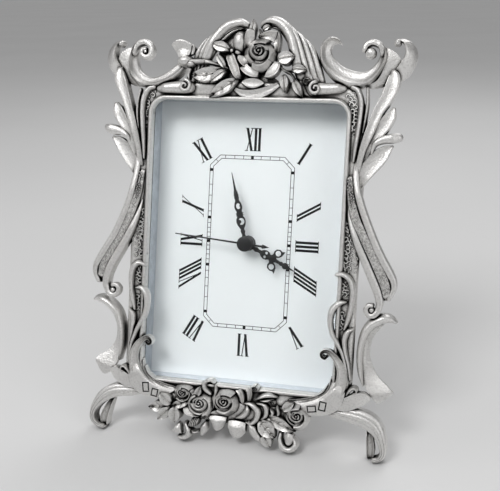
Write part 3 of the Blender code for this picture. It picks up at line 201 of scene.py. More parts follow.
# Each lamp has its place, the height that it points at, its size in metres and its watts
LAMPS = {
    "key_lamp": ((-0.3, -0.8, 0.95), 0.08, 0.4, 5.4),
    "fill_lamp": ((0.85, -0.65, 0.5), 0.08, 0.6, 1.8),
    "left_lamp": ((-1.0, -0.3, 0.5), 0.08, 0.5, 0.8),
    "back_lamp": ((0.2, 0.7, 1.0), 0.1, 0.6, 3),
}
world = bpy.data.worlds.new("studio")
world.use_nodes = True
bpy.context.scene.world = world
sky = world.node_tree
direction, split = sky.nodes.new("ShaderNodeTexCoord"), sky.nodes.new("ShaderNodeSeparateXYZ")
join(sky, (direction, "Generated", split, "Vector"))
background = set_inputs(sky.nodes["Background"], Strength=SKY_STRENGTH)
paint(sky, background, "Color", split.outputs["Z"], *SKY_STOPS)
for name, (place, aim, size, power) in LAMPS.items():
    light = bpy.data.lights.new(name, "AREA")
    light.shape = "SQUARE"
    light.size = size
    light.energy = power
    lamp = show(name, light)
    lamp.location = place
    lamp.rotation_euler = (Vector((0, 0, aim)) - Vector(place)).to_track_quat("-Z", "Y").to_euler()
print("lamps:", *LAMPS)

# %% [markdown]
# ## Finishes
#
# Antique pewter is bright where it is rubbed and nearly black in its corners. Ambient occlusion finds the
# corners, so one material paints every leaf without any hand work: a short reach finds the seams and the
# patina in them, and a longer one finds the deep hollows and paints shade into them, part patina and part
# painted shade. Noise breaks up the edge between polish and patina. A ramp turns the product into colour and
# roughness. The other finishes are plainer, and each one still gets the grain that it really has.


# %% Metal finishes
def pewter_finish():
    finish, tree, shader = new_material("antique_pewter", Metallic=1.0)
    # A short reach finds the seams, where the black patina lies.
    seams = node(tree, "ShaderNodeAmbientOcclusion", {"samples": 12}, Distance=0.0014)
    # A longer reach finds the deep hollows between rails and ornaments and behind buds. It paints shade into
    # them, part patina and part painted shade.
    hollow_shade = node(tree, "ShaderNodeAmbientOcclusion", {"samples": 8}, Distance=0.006)
    patina_and_shade = seams.outputs["AO"]
    for share in (ramp(tree, noise(tree, 1300.0, 6.0), (0.3, 0.85), (0.52, 1.0)),
                  ramp(tree, hollow_shade.outputs["AO"], (0.15, 0.45), (0.62, 1.0))):
        product = node(tree, "ShaderNodeMath", {"operation": "MULTIPLY"})
        tree.links.new(patina_and_shade, product.inputs[0])
        tree.links.new(share, product.inputs[1])
        patina_and_shade = product.outputs["Value"]
    # The base colour goes dark with the patina of the seams and the painted shade of the hollows, and stays
    # bright on open metal.
    paint(tree, shader, "Base Color", patina_and_shade, (0.3, (0.008, 0.0075, 0.007)), (0.5, (0.06, 0.058, 0.055)),
          (0.7, (0.35, 0.342, 0.33)), (0.86, (0.66, 0.65, 0.635)), (1.0, (0.78, 0.77, 0.755)))
    paint(tree, shader, "Roughness", patina_and_shade, (0.3, 0.62), (1.0, 0.42))
    bump(tree, shader, noise(tree, 1500.0, 6.0), 0.7, 0.00025)
    return finish


def sheet_finish(name, colour, roughness, grain):
    """Sheet metal with a faint grain."""
    finish, tree, shader = new_material(name, Metallic=1.0)
    speck = noise(tree, grain, 4.0)
    darker = tuple(0.82 * c for c in colour)
    paint(tree, shader, "Base Color", speck, (0.3, darker), (0.7, colour))
    paint(tree, shader, "Roughness", speck, (0.2, roughness * 1.3), (0.8, roughness * 0.8))
    bump(tree, shader, speck, 0.08, 0.00006)
    return finish


PEWTER = pewter_finish()
# Bright metal for the spacer and the battery contacts. Its bluish tint is a painted reflection of the sky.
BRIGHT = sheet_finish("bright_spacer_painted_sky_tint", (0.72, 0.76, 0.82), 0.12, 300.0)
STEEL = sheet_finish("plated_steel", (0.62, 0.62, 0.6), 0.32, 900.0)
BRASS = sheet_finish("brass", (0.76, 0.58, 0.28), 0.3, 900.0)
COPPER = sheet_finish("copper_wire", (0.7, 0.34, 0.18), 0.35, 1500.0)
MAGNET = sheet_finish("magnet", (0.2, 0.2, 0.21), 0.45, 1500.0)
print("metals:", *(metal.name for metal in (PEWTER, BRIGHT, STEEL, BRASS, COPPER, MAGNET)))


# %% Plastic, paper, ink and glass
def moulded_finish(name, colour, roughness, grain, relief=0.2, mottle=0.12, **sockets):
    """Plastic, enamel or board with a fine surface."""
    finish, tree, shader = new_material(name, **sockets)
    speck = noise(tree, grain, 3.0)
    lighter = tuple(min(1.0, (1 + mottle) * c) for c in colour)
    paint(tree, shader, "Base Color", speck, (0.35, colour), (0.65, lighter))
    paint(tree, shader, "Roughness", speck, (0.2, roughness * 0.85), (0.8, roughness * 1.15))
    bump(tree, shader, speck, relief, 0.00005)
    return finish


def glass_finish():
    """Clear glass that lets the lamps through to the dial."""
    finish, tree, shader = new_material(
        "clear_glass", Base_Color=(0.97, 0.985, 0.98, 1), Roughness=0.0, IOR=1.45, Transmission_Weight=1.0)
    path = tree.nodes.new("ShaderNodeLightPath")
    clear = tree.nodes.new("ShaderNodeBsdfTransparent")
    either = tree.nodes.new("ShaderNodeMixShader")
    join(tree, (path, "Is Shadow Ray", either, "Fac"), (shader, "BSDF", either, 1),
         (clear, "BSDF", either, 2), (either, "Shader", tree.nodes["Material Output"], "Surface"))
    return finish


ENAMEL = moulded_finish("white_dial_enamel", (0.82, 0.845, 0.86), 0.4, 500.0, 0.02, 0.015)
INK = moulded_finish("black_dial_ink", (0.005, 0.005, 0.006), 0.6, 900.0, 0.05, Specular_IOR_Level=0.1)
LACQUER = moulded_finish("black_hand_lacquer", (0.006, 0.006, 0.007), 0.36, 900.0, 0.05)
BOARD = moulded_finish("black_board_paper", (0.02, 0.02, 0.022), 0.85, 700.0, 0.6)
CASE = moulded_finish("black_case_plastic", (0.018, 0.018, 0.02), 0.48, 2400.0, 0.35)
GEAR = moulded_finish("white_gear_plastic", (0.8, 0.8, 0.77), 0.42, 1200.0)
RESIN = moulded_finish("green_circuit_resin", (0.05, 0.2, 0.09), 0.35, 800.0)
SLEEVE = moulded_finish("plain_cell_sleeve", (0.09, 0.11, 0.16), 0.25, 300.0, 0.02)
GLASS = glass_finish()
print("others:", *(f.name for f in (ENAMEL, INK, LACQUER, BOARD, CASE, GEAR, RESIN, SLEEVE, GLASS)))

# %% [markdown]
# ## Drawing tools
#
# Cast ornament is relief work: every leaf, ribbon and petal has a modelled front and a flat back that sinks
# into what is behind it. So there are two tools. A ribbon sweeps a cross section along a smooth run of (x, z,
# half width). A sheet is a smooth front through a few lines of (x, z, height). Both close their shapes with
# walls and a flat back. Side pieces are drawn as if they were on the right, and those of the left are then
# mirrored.


# %% Curves and ribbons
def smooth(points, steps):
    """A curve through the points, with the given number of steps to each span."""
    points = np.asarray(points, float)
    ends = np.vstack([2 * points[0] - points[1], points, 2 * points[-1] - points[-2]])
    t = np.linspace(0, 1, steps, endpoint=False)[:, None]
    spans = []
    for a, b, c, d in zip(ends, ends[1:], ends[2:], ends[3:]):
        cubic = 3 * b - a - 3 * c + d
        square = 2 * a - 5 * b + 4 * c - d
        spans.append(0.5 * (2 * b + (c - a) * t + square * t**2 + cubic * t**3))
    return np.vstack([*spans, points[-1:]])


def loft(rings, closed=False):
    """Walls between rings of equal length. Either both ends are filled, or the last ring meets the first."""
    size, count = len(rings[0]), len(rings)
    points = [tuple(p) for ring in rings for p in ring]
    faces = [] if closed else [tuple(range(size)), tuple(range(len(points) - size, len(points)))]
    for ring in range(count if closed else count - 1):
        low, high = ring * size, (ring + 1) % count * size
        for i in range(size):
            j = (i + 1) % size
            faces.append((low + i, low + j, high + j, high + i))
    return points, faces


def run_frames(run, steps):
    """The points of a run, their half widths, and the direction across it at each."""
    path = smooth(run, steps)
    ahead = np.gradient(path[:, :2], axis=0)
    ahead /= np.maximum(np.linalg.norm(ahead, axis=1, keepdims=True), 1e-9)
    return path[:, :2], np.maximum(path[:, 2], 0.05), np.stack([-ahead[:, 1], ahead[:, 0]], 1)


def wider(run, share):
    """A run with its half widths scaled."""
    return [(x, z, share * half) for x, z, half in run]


CAP_ANGLES = (0.5, 1.0, 1.4)


def ribbon(run, section, back, height, ends=(1.0, 1.0), steps=6):
    """A run with a cross section that stands on a back plane. Its height can fall towards its round ends."""
    middle, half, across = run_frames(run, steps)
    stations = []
    for i, (centre, width, side) in enumerate(zip(middle, half, across)):
        t = i / (len(middle) - 1)
        fall = ends[0] + (1 - ends[0]) * min(1, 4 * t)
        fall *= ends[1] + (1 - ends[1]) * min(1, 4 * (1 - t))
        stations.append((centre, width, side, fall))
    for place, way in ((0, -1), (-1, 1)):
        centre, width, side, fall = stations[place]
        ahead = np.array((side[1], -side[0])) * way
        cap = [(centre + ahead * width * math.sin(a), width * math.cos(a), side,
                fall * (0.3 + 0.7 * math.cos(a))) for a in CAP_ANGLES]
        stations = cap[::-1] + stations if way < 0 else stations + cap
    rings = []
    for centre, width, side, fall in stations:
        rings.append([
            (centre[0] + side[0] * u * width, back - v * height * fall, centre[1] + side[1] * u * width)
            for u, v in section
        ])
    return loft(rings)


# %% Sheets, bosses and curls
def relief(front, back):
    """A grid of front points, with walls down to a flat back plane."""
    rows, columns = len(front), len(front[0])
    points = [tuple(p) for row in front for p in row]
    faces = []
    for r in range(rows - 1):
        for c in range(columns - 1):
            a = r * columns + c
            faces.append((a, a + 1, a + columns + 1, a + columns))
    rim = list(range(columns))
    rim += [r * columns + columns - 1 for r in range(1, rows)]
    rim += [(rows - 1) * columns + c for c in range(columns - 2, -1, -1)]
    rim += [r * columns for r in range(rows - 2, 0, -1)]
    start = len(points)
    points += [(points[i][0], back, points[i][2]) for i in rim]
    for i, a in enumerate(rim):
        j = (i + 1) % len(rim)
        faces.append((rim[j], a, start + i, start + j))
    faces.append(tuple(range(start, start + len(rim))))
    return points, faces


def sheet(back, *lines, along=5, across=4):
    """A relief through lines of (x, z, height), smooth along the lines and across them."""
    columns = np.stack([smooth(line, along) for line in lines], 1)
    grid = np.stack([smooth(column, across) for column in columns], 1)
    return relief([[(x, back - max(h, 0.2), z) for x, z, h in row] for row in grid], back)


def boss(x, z, across, up, back, height, turn=0.0, power=0.5, rings=7, sides=22):
    """A rounded knob, bud or oval with a flat back."""
    c, s = math.cos(math.radians(turn)), math.sin(math.radians(turn))
    made = []
    for i in range(rings):
        t = i / (rings - 1)
        radius = max(0.02, math.cos(t * math.pi / 2) ** (2 * power))
        lift = math.sin(t * math.pi / 2)
        ring = []
        for k in range(sides):
            angle = math.tau * k / sides
            u, v = across * radius * math.cos(angle), up * radius * math.sin(angle)
            ring.append((x + u * c - v * s, back - height * lift, z + u * s + v * c))
        made.append(ring)
    return loft(made)


def bead(place, back, height, power):
    """A round boss, from its (x, z, radius)."""
    x, z, radius = place
    return boss(x, z, radius, radius, back, height, power=power)


def spiral(centre, start, end, first, turn, width, steps=9):
    """Points of a curl round a centre: radius from start to end, from one angle on through a turn."""
    made = []
    for i in range(steps):
        t = i / (steps - 1)
        angle = math.radians(first + turn * t)
        radius = start + (end - start) * t
        made.append((centre[0] + radius * math.cos(angle), centre[1] + radius * math.sin(angle),
                     width * (1 - 0.4 * t)))
    return made


def circle(x, z, radius, count=18):
    angles = [math.tau * i / count for i in range(count)]
    return [(x + radius * math.cos(a), z + radius * math.sin(a)) for a in angles]


def lathe(x, z, profile, sides):
    """A round body from (radius, depth) steps, about a line from front to back."""
    return loft([[(px, y, pz) for px, pz in circle(x, z, radius, sides)] for radius, y in profile])


# %% From shapes to pieces
WELD, SLIVER = 0.004, 0.002


def finish_piece(name, mesh, finish, body="clock_body", crease=42):
    """The object for a mesh that is already in place, shaded, painted and riding on its body."""
    mesh.shade_smooth()
    mesh.set_sharp_from_angle(angle=math.radians(crease))
    mesh.materials.clear()
    mesh.materials.append(finish)
    made = show(name, mesh)
    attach(made, body)
    print(f"{name}: {sum(len(p.vertices) - 2 for p in mesh.polygons)} triangles")
    return made


def mesh_of(shape, weld=True):
    """A closed shape as a mesh of its own, welded and turned outwards."""
    points, faces = shape
    mesh = bpy.data.meshes.new("part")
    mesh.from_pydata(points, [], [face for face in faces if len(set(face)) > 2])
    bm = bmesh.new()
    bm.from_mesh(mesh)
    if weld:
        bmesh.ops.remove_doubles(bm, verts=bm.verts, dist=WELD)
        bmesh.ops.dissolve_degenerate(bm, edges=bm.edges, dist=SLIVER)
    bmesh.ops.recalc_face_normals(bm, faces=bm.faces)
    bm.to_mesh(mesh)
    bm.free()
    return mesh


def merged(name, meshes):
    """Several meshes as one."""
    bm = bmesh.new()
    for mesh in meshes:
        bm.from_mesh(mesh)
        bpy.data.meshes.remove(mesh)
    made = bpy.data.meshes.new(name)
    bm.to_mesh(made)
    bm.free()
    return made


def make_piece(name, shapes, finish, body="clock_body"):
    """One piece from closed shapes in clock millimetres, put in its place."""
    mesh = merged(name, [mesh_of(shape) for shape in shapes])
    mesh.transform(CLOCK)
    return finish_piece(name, mesh, finish, body)


def cast(name, shapes):
    """A piece of the pewter casting."""
    return make_piece(name, shapes, PEWTER)


def on_side(shape, side):
    """A shape as drawn, or its mirror image for the left."""
    points, faces = shape
    return [(side * x, y, z) for x, y, z in points], faces


def cast_pair(left, right, *draws):
    """Pieces for both sides, each from its side's own points. A piece is named after what draws it."""
    for word, side, drawn in (("left", -1, left), ("right", 1, right)):
        for draw in draws:
            cast(f"{draw.__name__}_{word}", [on_side(shape, side) for shape in draw(drawn)])


# %% Cross sections
def both_sides(half):
    """A symmetrical outline from one half of it."""
    return half + [(-u, v) for u, v in reversed(half) if u != 0]


# From one side to the other, as (across, height) in shares of the half width and the height
GUTTER = (
    (-1, 0), (-1, 0.42), (-0.94, 0.62), (-0.84, 0.78), (-0.7, 0.9), (-0.56, 0.97), (-0.45, 1), (-0.36, 0.96),
    (-0.28, 0.84), (-0.2, 0.7), (-0.08, 0.61), (0.2, 0.54), (0.6, 0.48), (0.88, 0.44), (0.97, 0.38),
    (1, 0.28), (1, 0),
)
SHELL = (
    (-1, 0), (-1, 0.2), (-0.92, 0.36), (-0.72, 0.52), (-0.4, 0.66), (0, 0.8), (0.4, 0.92), (0.66, 0.99),
    (0.8, 1), (0.9, 0.94), (0.97, 0.76), (1, 0.5), (1, 0),
)
CUPPED = both_sides([
    (-1, 0), (-1, 0.6), (-0.97, 0.84), (-0.89, 0.98), (-0.78, 0.98), (-0.66, 0.86), (-0.45, 0.77),
    (-0.2, 0.73), (0, 0.72),
])
DISHED = both_sides([
    (-1, 0), (-1, 0.66), (-0.97, 0.88), (-0.91, 0.98), (-0.83, 0.99), (-0.72, 0.93), (-0.4, 0.89), (0, 0.88),
])
PILLOW = both_sides([
    (-1, 0), (-1, 0.5), (-0.95, 0.72), (-0.84, 0.87), (-0.66, 0.95), (-0.3, 0.99), (0, 1),
])
FLAT = both_sides([(-1, 0), (-1, 0.8), (-0.94, 0.94), (-0.8, 1)])
half_turn = [math.pi * i / 10 for i in range(11)]
ROUND = [(-1, 0), *((-math.cos(a), 0.3 + 0.7 * math.sin(a)) for a in half_turn), (1, 0)]


def flutes(count, depth=0.3):
    """A section with several ridges side by side."""
    made = [(-1, 0)]
    for i in range(6 * count + 1):
        u = -1 + 2 * i / (6 * count)
        ridge = abs(math.sin(math.pi * count * (u + 1) / 2)) ** 0.7
        made.append((u, 1 - depth + depth * ridge - 0.12 * u * u))
    return made + [(1, 0)]


# %% [markdown]
# ## Rails and rim
#
# The rails are one moulding that runs round the opening: a raised lip beside the glass, a hollow, and a
# rounded outer edge. Behind them stands the rim, a plain box with four bosses that take the tab screws. Both
# are exact and regular, so they are lofted from rounded rectangles.

# %% Rail moulding and rim
HALF_WIDTH, HALF_HEIGHT, CORNER_RADIUS = 43.0, 62.0, 6.0
RAIL_WIDTH, RAIL_HEIGHT = 8.5, 4.2
POCKET_HALF_WIDTH, POCKET_HALF_HEIGHT = 44.9, 63.9
BOSS_X, BOSS_Z = 28.0, 67.4
RAIL_SECTION = (
    (0, 0), (0, 0.66), (0.015, 0.82), (0.05, 0.95), (0.1, 1), (0.16, 0.97), (0.21, 0.85), (0.25, 0.64),
    (0.29, 0.54), (0.42, 0.56), (0.6, 0.62), (0.74, 0.68), (0.86, 0.66), (0.95, 0.52), (1, 0.3), (1, 0),
)
# The rim's wall, as (growth outwards from the pocket, depth), and a boss with its hole, as (radius, depth)
RIM_WALL = ((0, -1), (0, 14.5), (0.3, 14.8), (2.5, 14.8), (3.0, 14.3), (3.0, -1))
TAB_BOSS = ((3.2, -1.0), (3.2, 14.3), (2.8, 14.75), (1.15, 14.75), (1.15, 9.0))


def rounded_rectangle(half_width, half_height, radius, steps=9):
    loop = []
    for corner, (sx, sz) in enumerate(CORNERS):
        for step in range(steps + 1):
            angle = math.pi / 2 * (corner + step / steps)
            loop.append((sx * (half_width - radius) + radius * math.cos(angle),
                         sz * (half_height - radius) + radius * math.sin(angle)))
    return loop


rail_loops, rim_loops = [], []
for across, height in RAIL_SECTION:
    grow = across * RAIL_WIDTH
    loop = rounded_rectangle(HALF_WIDTH + grow, HALF_HEIGHT + grow, CORNER_RADIUS + grow)
    rail_loops.append([(x, -height * RAIL_HEIGHT, z) for x, z in loop])
for grow, y in RIM_WALL:
    loop = rounded_rectangle(POCKET_HALF_WIDTH + grow, POCKET_HALF_HEIGHT + grow, 0.4 + 0.5 * grow, 4)
    rim_loops.append([(x, y, z) for x, z in loop])
bosses = [lathe(sx * BOSS_X, sz * BOSS_Z, TAB_BOSS, 24) for sx in (-1, 1) for sz in (-1, 1)]
rails = cast("rail_moulding", [loft(rail_loops, closed=True)])
cast("rim_box", [loft(rim_loops, closed=True), *bosses])
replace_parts(rails, "frame_casting")

# %% [markdown]
# ## Corner scrolls
#
# Each upper corner has a C-scroll: a dished ribbon that ends in a tight curl round a knob. A flare leaves its
# back and curls over a small ball, and a web fills the fork between them. The right scroll starts with a
# hook. The left one starts behind a trumpet flower and sits a little nearer to the middle, as hand-made
# patterns do, so the two have their own points.

# %% Corner scrolls
# Planes that the ornament stands on
ON_RAIL, FREE, OVER, CURL_BACK = -1.2, 1.6, -2.6, -1.8
RIGHT_SCROLL = {
    "bowl": [
        (38.8, 86.9, 0.3), (37.3, 88, 0.9), (35, 88.1, 1.6), (33, 86.6, 2.2), (32.3, 83.8, 2.3),
        (33, 80.2, 2.9), (35.4, 76.8, 3.3), (39.4, 73.6, 3.7), (44.5, 71.8, 3.9), (49.5, 72.2, 3.4),
        (53.4, 75, 2.6), (55.9, 79, 1.9), (56.6, 82.6, 1.5), (55.4, 85.8, 1.2), (53.2, 86.9, 0.8),
    ],
    "curl": [(56.5, 82.6, 1.2), (55.3, 85.6, 1.3), (52.3, 86.9, 1.3), (49.7, 85.8, 1.25), (48.9, 83.9, 1.1)],
    "knob": (51.5, 82.6, 2.4),
    "flare": [
        (60, 71.8, 2), (64.5, 75, 2.9), (67.3, 79.5, 2.9), (67.9, 83.2, 2.5), (66.6, 86.4, 1.8),
        (64.6, 88, 1.1), (62.6, 88.2, 0.8),
    ],
    "ball": (62.2, 86.9, 1.6),
    "web": (
        [(49, 69, 3), (54.6, 71.6, 4), (57, 77, 4), (57.2, 82, 3.8), (56.4, 85.4, 3.2)],
        [(52.6, 68.4, 2.6), (58.6, 71.2, 3.3), (60.6, 76.6, 3.4), (60.2, 81.4, 3.6), (58.8, 84.6, 3.6)],
        [(56.6, 68.8, 2), (62.6, 72, 2.8), (64.4, 77, 3), (63.6, 80.6, 3.3), (62, 82.8, 3.4)],
    ),
}
LEFT_SCROLL = {
    "bowl": [
        (30, 77.8, 2.2), (32.8, 74.8, 2.8), (36.5, 72, 2.7), (41, 69.9, 2.5), (45.5, 69.3, 2.5),
        (49.5, 70.6, 2.6), (52.4, 73.6, 2.4), (53.5, 77.5, 1.9), (53.1, 81.2, 1.6), (52.2, 84.2, 1.35),
        (50.4, 86.2, 1.1), (48.8, 86.8, 0.8),
    ],
    "curl": [
        (53, 82, 1.2), (51.2, 85.4, 1.35), (48, 86.7, 1.4), (45.3, 85.5, 1.4), (44.2, 82.9, 1.4),
        (45, 80.7, 1.35), (47, 80.1, 1.25), (48.7, 81.4, 1.1), (48.4, 83.2, 1), (46.9, 83.5, 0.8),
    ],
    "knob": (46.9, 82.3, 0.9),
    "flare": [
        (57.8, 72.2, 2), (61.6, 75.2, 2.8), (63.8, 79, 2.7), (63.6, 82.6, 2.4), (62.2, 85.4, 1.7),
        (60.4, 86.8, 1.1), (59, 86.8, 0.9),
    ],
    "ball": (58.6, 85.9, 1.5),
    "web": (
        [(47.6, 67.8, 3), (52.4, 70, 4), (54.6, 76, 4), (54.4, 81, 3.8), (53.4, 84.8, 3.2)],
        [(51.6, 67.6, 2.6), (56.4, 70.4, 3.3), (58, 76, 3.4), (57.4, 80.8, 3.6), (56.2, 84, 3.6)],
        [(55.6, 69, 2), (60.2, 72, 2.8), (61.2, 77, 3), (60.3, 80.4, 3.3), (59, 82.6, 3.4)],
    ),
}


def corner_scroll(drawn):
    return [
        ribbon(drawn["bowl"], GUTTER, FREE, height=6.8, ends=(0.7, 0.95)),
        ribbon(drawn["curl"], PILLOW, CURL_BACK, height=3.6, ends=(0.8, 1)),
        bead(drawn["knob"], CURL_BACK, height=3.8, power=0.22),
        ribbon(drawn["flare"], SHELL, FREE - 0.3, height=6, ends=(0.5, 0.9)),
        bead(drawn["ball"], CURL_BACK, height=3.7, power=0.3),
        sheet(FREE - 0.5, *drawn["web"]),
    ]


cast_pair(LEFT_SCROLL, RIGHT_SCROLL, corner_scroll)

# %% [markdown]
# ## Leaf sprigs
#
# Four long leaves spread from the rail below each scroll. They are smooth, with a flat face and a thin rim.
# The third is a rounded finger that folds over, and the lowest is broad and lies behind it.

# %% Leaf sprigs
SPRIG_WIDER = 1.18
FINGER = 2
# Each leaf is a run, how far it sinks behind the others, and its height
RIGHT_SPRIG = (
    ([(48.6, 33, 0.9), (50.3, 42, 1.2), (53, 50, 1.7), (56, 58.3, 1.9), (59.3, 64.3, 2.3), (61.2, 69.5, 2.5),
      (61.7, 73.3, 1.9), (61.3, 75.2, 0.8)], 0, 5),
    ([(49.6, 36, 1), (52.3, 43, 1.5), (55.5, 48.6, 2.2), (58.5, 52.8, 2.5), (61, 56.8, 2), (62.2, 60, 0.7)],
      0.2, 4.4),
    ([(54, 41.5, 0.5), (55.4, 45.2, 0.9), (58.6, 47.2, 1.4), (62.4, 47.9, 1.7), (65, 48.3, 1.5)], -0.6, 4.6),
    ([(48.4, 25, 0.9), (50.8, 30.5, 2), (53.4, 35.4, 2.9), (56.8, 39.6, 3), (60, 42.8, 2), (62.4, 44.6, 0.5)],
      0.6, 3.4),
)
LEFT_SPRIG = (
    ([(47.6, 33, 0.9), (49, 42, 1.1), (51.5, 51, 1.5), (53.8, 58, 1.7), (56, 64, 2), (57.9, 69, 2.3),
      (58.9, 73, 1.7), (58.8, 75, 0.8)], 0, 5),
    ([(49, 36, 1), (51.5, 42, 1.5), (54.5, 49, 2.1), (57.5, 53.6, 2.3), (59.3, 57.2, 1.9), (60.3, 59.6, 0.7)],
      0.2, 4.4),
    ([(52.9, 41.5, 0.5), (54, 45, 1), (57, 47.2, 1.4), (60.5, 47.9, 1.9), (63, 48.6, 1.7), (64.2, 49.2, 1)],
      -0.6, 4.6),
    ([(48, 25, 0.9), (50, 30.5, 1.8), (52.5, 35.5, 2.6), (55.5, 39.8, 2.7), (58.8, 43, 1.9),
      (61.6, 44.8, 0.5)], 0.6, 3.4),
)


def leaf_sprig(leaves):
    shapes = []
    for leaf, (run, sink, height) in enumerate(leaves):
        section = PILLOW if leaf == FINGER else DISHED
        shapes.append(ribbon(wider(run, SPRIG_WIDER), section, ON_RAIL + 0.6 + sink, height, ends=(0.6, 0.8)))
    return shapes


cast_pair(LEFT_SPRIG, RIGHT_SPRIG, leaf_sprig)

# %% [markdown]
# ## Side ribbons and brackets
#
# A broad ribbon swings out from each side rail and rolls in at its foot round a small eye. It has two smooth
# bands with a stippled one between them. The bracket below it is a round ridge that flares at its tip, with a
# low plate behind that spreads into a wedge.

# %% Ribbons and brackets
RIGHT_RIBBON = {
    "outer": [
        (48.6, 40, 0.8), (48.2, 33, 1.1), (48.9, 27, 1.2), (51, 20, 1.3), (54.2, 12, 1.35), (57.8, 4, 1.4),
        (61, -2, 1.4), (64.4, -7.6, 1.4), (66.4, -11.4, 1.2), (66.4, -15, 1), (64.8, -18.6, 0.8),
    ],
    "grained": [
        (45.9, 31, 1), (46.8, 23, 1.6), (49.3, 14, 1.9), (52.7, 7, 2.1), (56.6, 0, 2.2), (60.2, -7, 2.3),
        (62.9, -13, 2.2), (63.8, -17.4, 1.6),
    ],
    "inner": [
        (45.7, 20, 0.4), (47.2, 12.6, 1), (50.3, 4.4, 1.4), (53.8, -3, 1.6), (57.2, -10, 1.7), (60, -16, 1.7),
        (61.2, -20.4, 1.5), (60.7, -23.6, 1),
    ],
    "coil": [
        (61.2, -20.4, 1.5), (60.7, -23.8, 1.4), (58.9, -26, 1.25), (56.7, -25.8, 1.15), (55.7, -23.8, 1.1),
        (56.6, -22, 1), (58.2, -21.8, 0.9),
    ],
    "eye": (58.1, -23.8, 1.2),
    "ridge": [
        (68.4, -28.6, 0.7), (66.5, -27.6, 1.6), (64, -27.2, 2.1), (61, -28.1, 2.3), (57.6, -30.6, 2.1),
        (55.3, -34.4, 1.7), (54.1, -40, 1.4), (54, -46, 1.3), (54.8, -52, 1.1), (56.2, -56.6, 0.3),
    ],
    "plate": (
        [(60.5, -29.4, 2.4), (61.6, -30.2, 1.8), (63.4, -30.2, 1.4)],
        [(56.6, -34.4, 1.8), (57.8, -35, 1.1), (59.4, -35.6, 1)],
        [(55.2, -41, 1.8), (56.6, -41, 1), (58.2, -41, 1)],
        [(55.2, -47, 1.8), (57, -46.8, 1.2), (58.9, -46.4, 1.1)],
        [(56, -52, 2), (59, -51.8, 1.7), (62, -52.2, 1.6)],
        [(57, -57, 2.6), (62, -56.4, 2.6), (66.2, -56, 2.4)],
        [(59.6, -60.8, 3.2), (63.8, -59.8, 3.3), (68.4, -58.2, 2.9)],
        [(62.4, -64, 3), (65, -62.4, 3.2), (69, -58.9, 2.7)],
    ),
}
LEFT_RIBBON = {
    "outer": [
        (49.3, 40, 0.8), (49.1, 33, 1.1), (49.9, 26, 1.25), (51.7, 18, 1.3), (54.5, 10, 1.4), (58, 2, 1.4),
        (61.5, -4, 1.4), (64.8, -9.5, 1.4), (66.8, -13.5, 1.2), (66.9, -17, 1), (65.4, -20.4, 0.8),
    ],
    "grained": [
        (46.4, 30, 1), (47.8, 22, 1.6), (50, 14, 1.8), (53, 6, 2), (56.3, -1, 2.1), (59.7, -7, 2.1),
        (62.8, -12.5, 2.1), (64.1, -17.5, 1.6),
    ],
    "inner": [
        (46.2, 17.5, 0.4), (47.6, 12, 1), (50.1, 5, 1.4), (53, -1, 1.6), (56.4, -7, 1.7), (59.4, -12.5, 1.7),
        (61.3, -17.5, 1.6), (61.7, -21.5, 1.5), (61, -24, 1),
    ],
    "coil": [
        (61.7, -21.5, 1.5), (60.3, -25, 1.4), (58, -26.2, 1.25), (55.9, -25.2, 1.2), (55.3, -23, 1.1),
        (56.7, -21.5, 1), (58.4, -21.8, 0.9),
    ],
    "eye": (58, -24, 1.3),
    "ridge": [
        (68, -29.2, 0.8), (66.2, -28.6, 1.7), (63.4, -28.9, 2.1), (60.2, -30.6, 2.2), (56.8, -33.6, 2),
        (54.5, -38, 1.6), (53.4, -44, 1.3), (53.6, -50, 1.1), (54.3, -56, 0.3),
    ],
    "plate": (
        [(61.4, -31.2, 2.4), (62.2, -31.8, 1.8), (63.4, -31.6, 1.4)],
        [(57.4, -35, 1.8), (58.5, -35.5, 1.1), (59.6, -35.6, 1)],
        [(54.8, -41, 1.8), (56, -41, 1), (57.4, -41, 1)],
        [(54.6, -47, 1.8), (56, -47, 1.2), (57.6, -47, 1.1)],
        [(55, -52, 2), (57.8, -51.8, 1.7), (60.6, -52, 1.6)],
        [(56, -57, 2.6), (60.6, -56, 2.6), (65.4, -55.4, 2.4)],
        [(57.4, -60, 3.2), (61.6, -59.4, 3.3), (66.4, -57, 2.9)],
        [(58.6, -62, 3), (62.4, -63.2, 3.2), (66.4, -58.4, 2.7)],
    ),
}
RIBBON_BACK, COIL_BACK = ON_RAIL + 0.5, CURL_BACK - 0.4
GRAINED_HEIGHT = 4


def side_ribbon(drawn):
    eye = wider([drawn["eye"]], 1.25)[0]
    return [
        ribbon(wider(drawn["grained"], 1.5), FLAT, RIBBON_BACK + 0.4, height=2.6),
        ribbon(wider(drawn["outer"], 1.25), PILLOW, RIBBON_BACK, height=4.5, ends=(0.5, 0.9)),
        ribbon(drawn["grained"], FLAT, RIBBON_BACK, GRAINED_HEIGHT, ends=(0.7, 1)),
        ribbon(wider(drawn["inner"], 1.12), PILLOW, RIBBON_BACK + 0.2, height=4.9, ends=(0.5, 1)),
        ribbon(drawn["coil"], PILLOW, COIL_BACK, height=3.3, ends=(0.9, 1)),
        bead(eye, COIL_BACK, height=3.2, power=0.3),
    ]


def side_bracket(drawn):
    ridge = ribbon(drawn["ridge"], ROUND, FREE - 0.2, height=6, ends=(0.6, 0.8))
    return [ridge, sheet(FREE - 0.2, *drawn["plate"])]


cast_pair(LEFT_RIBBON, RIGHT_RIBBON, side_ribbon, side_bracket)

# %% [markdown]
# ## Stipple
#
# The band in the middle of a ribbon carries hundreds of grains, so Geometry Nodes scatter them: a strip of
# the band is the surface, the points on it come from a fixed seed, and every grain is the same small ball.
# Each tree ends in real geometry with its material, and the result is kept as a plain mesh.


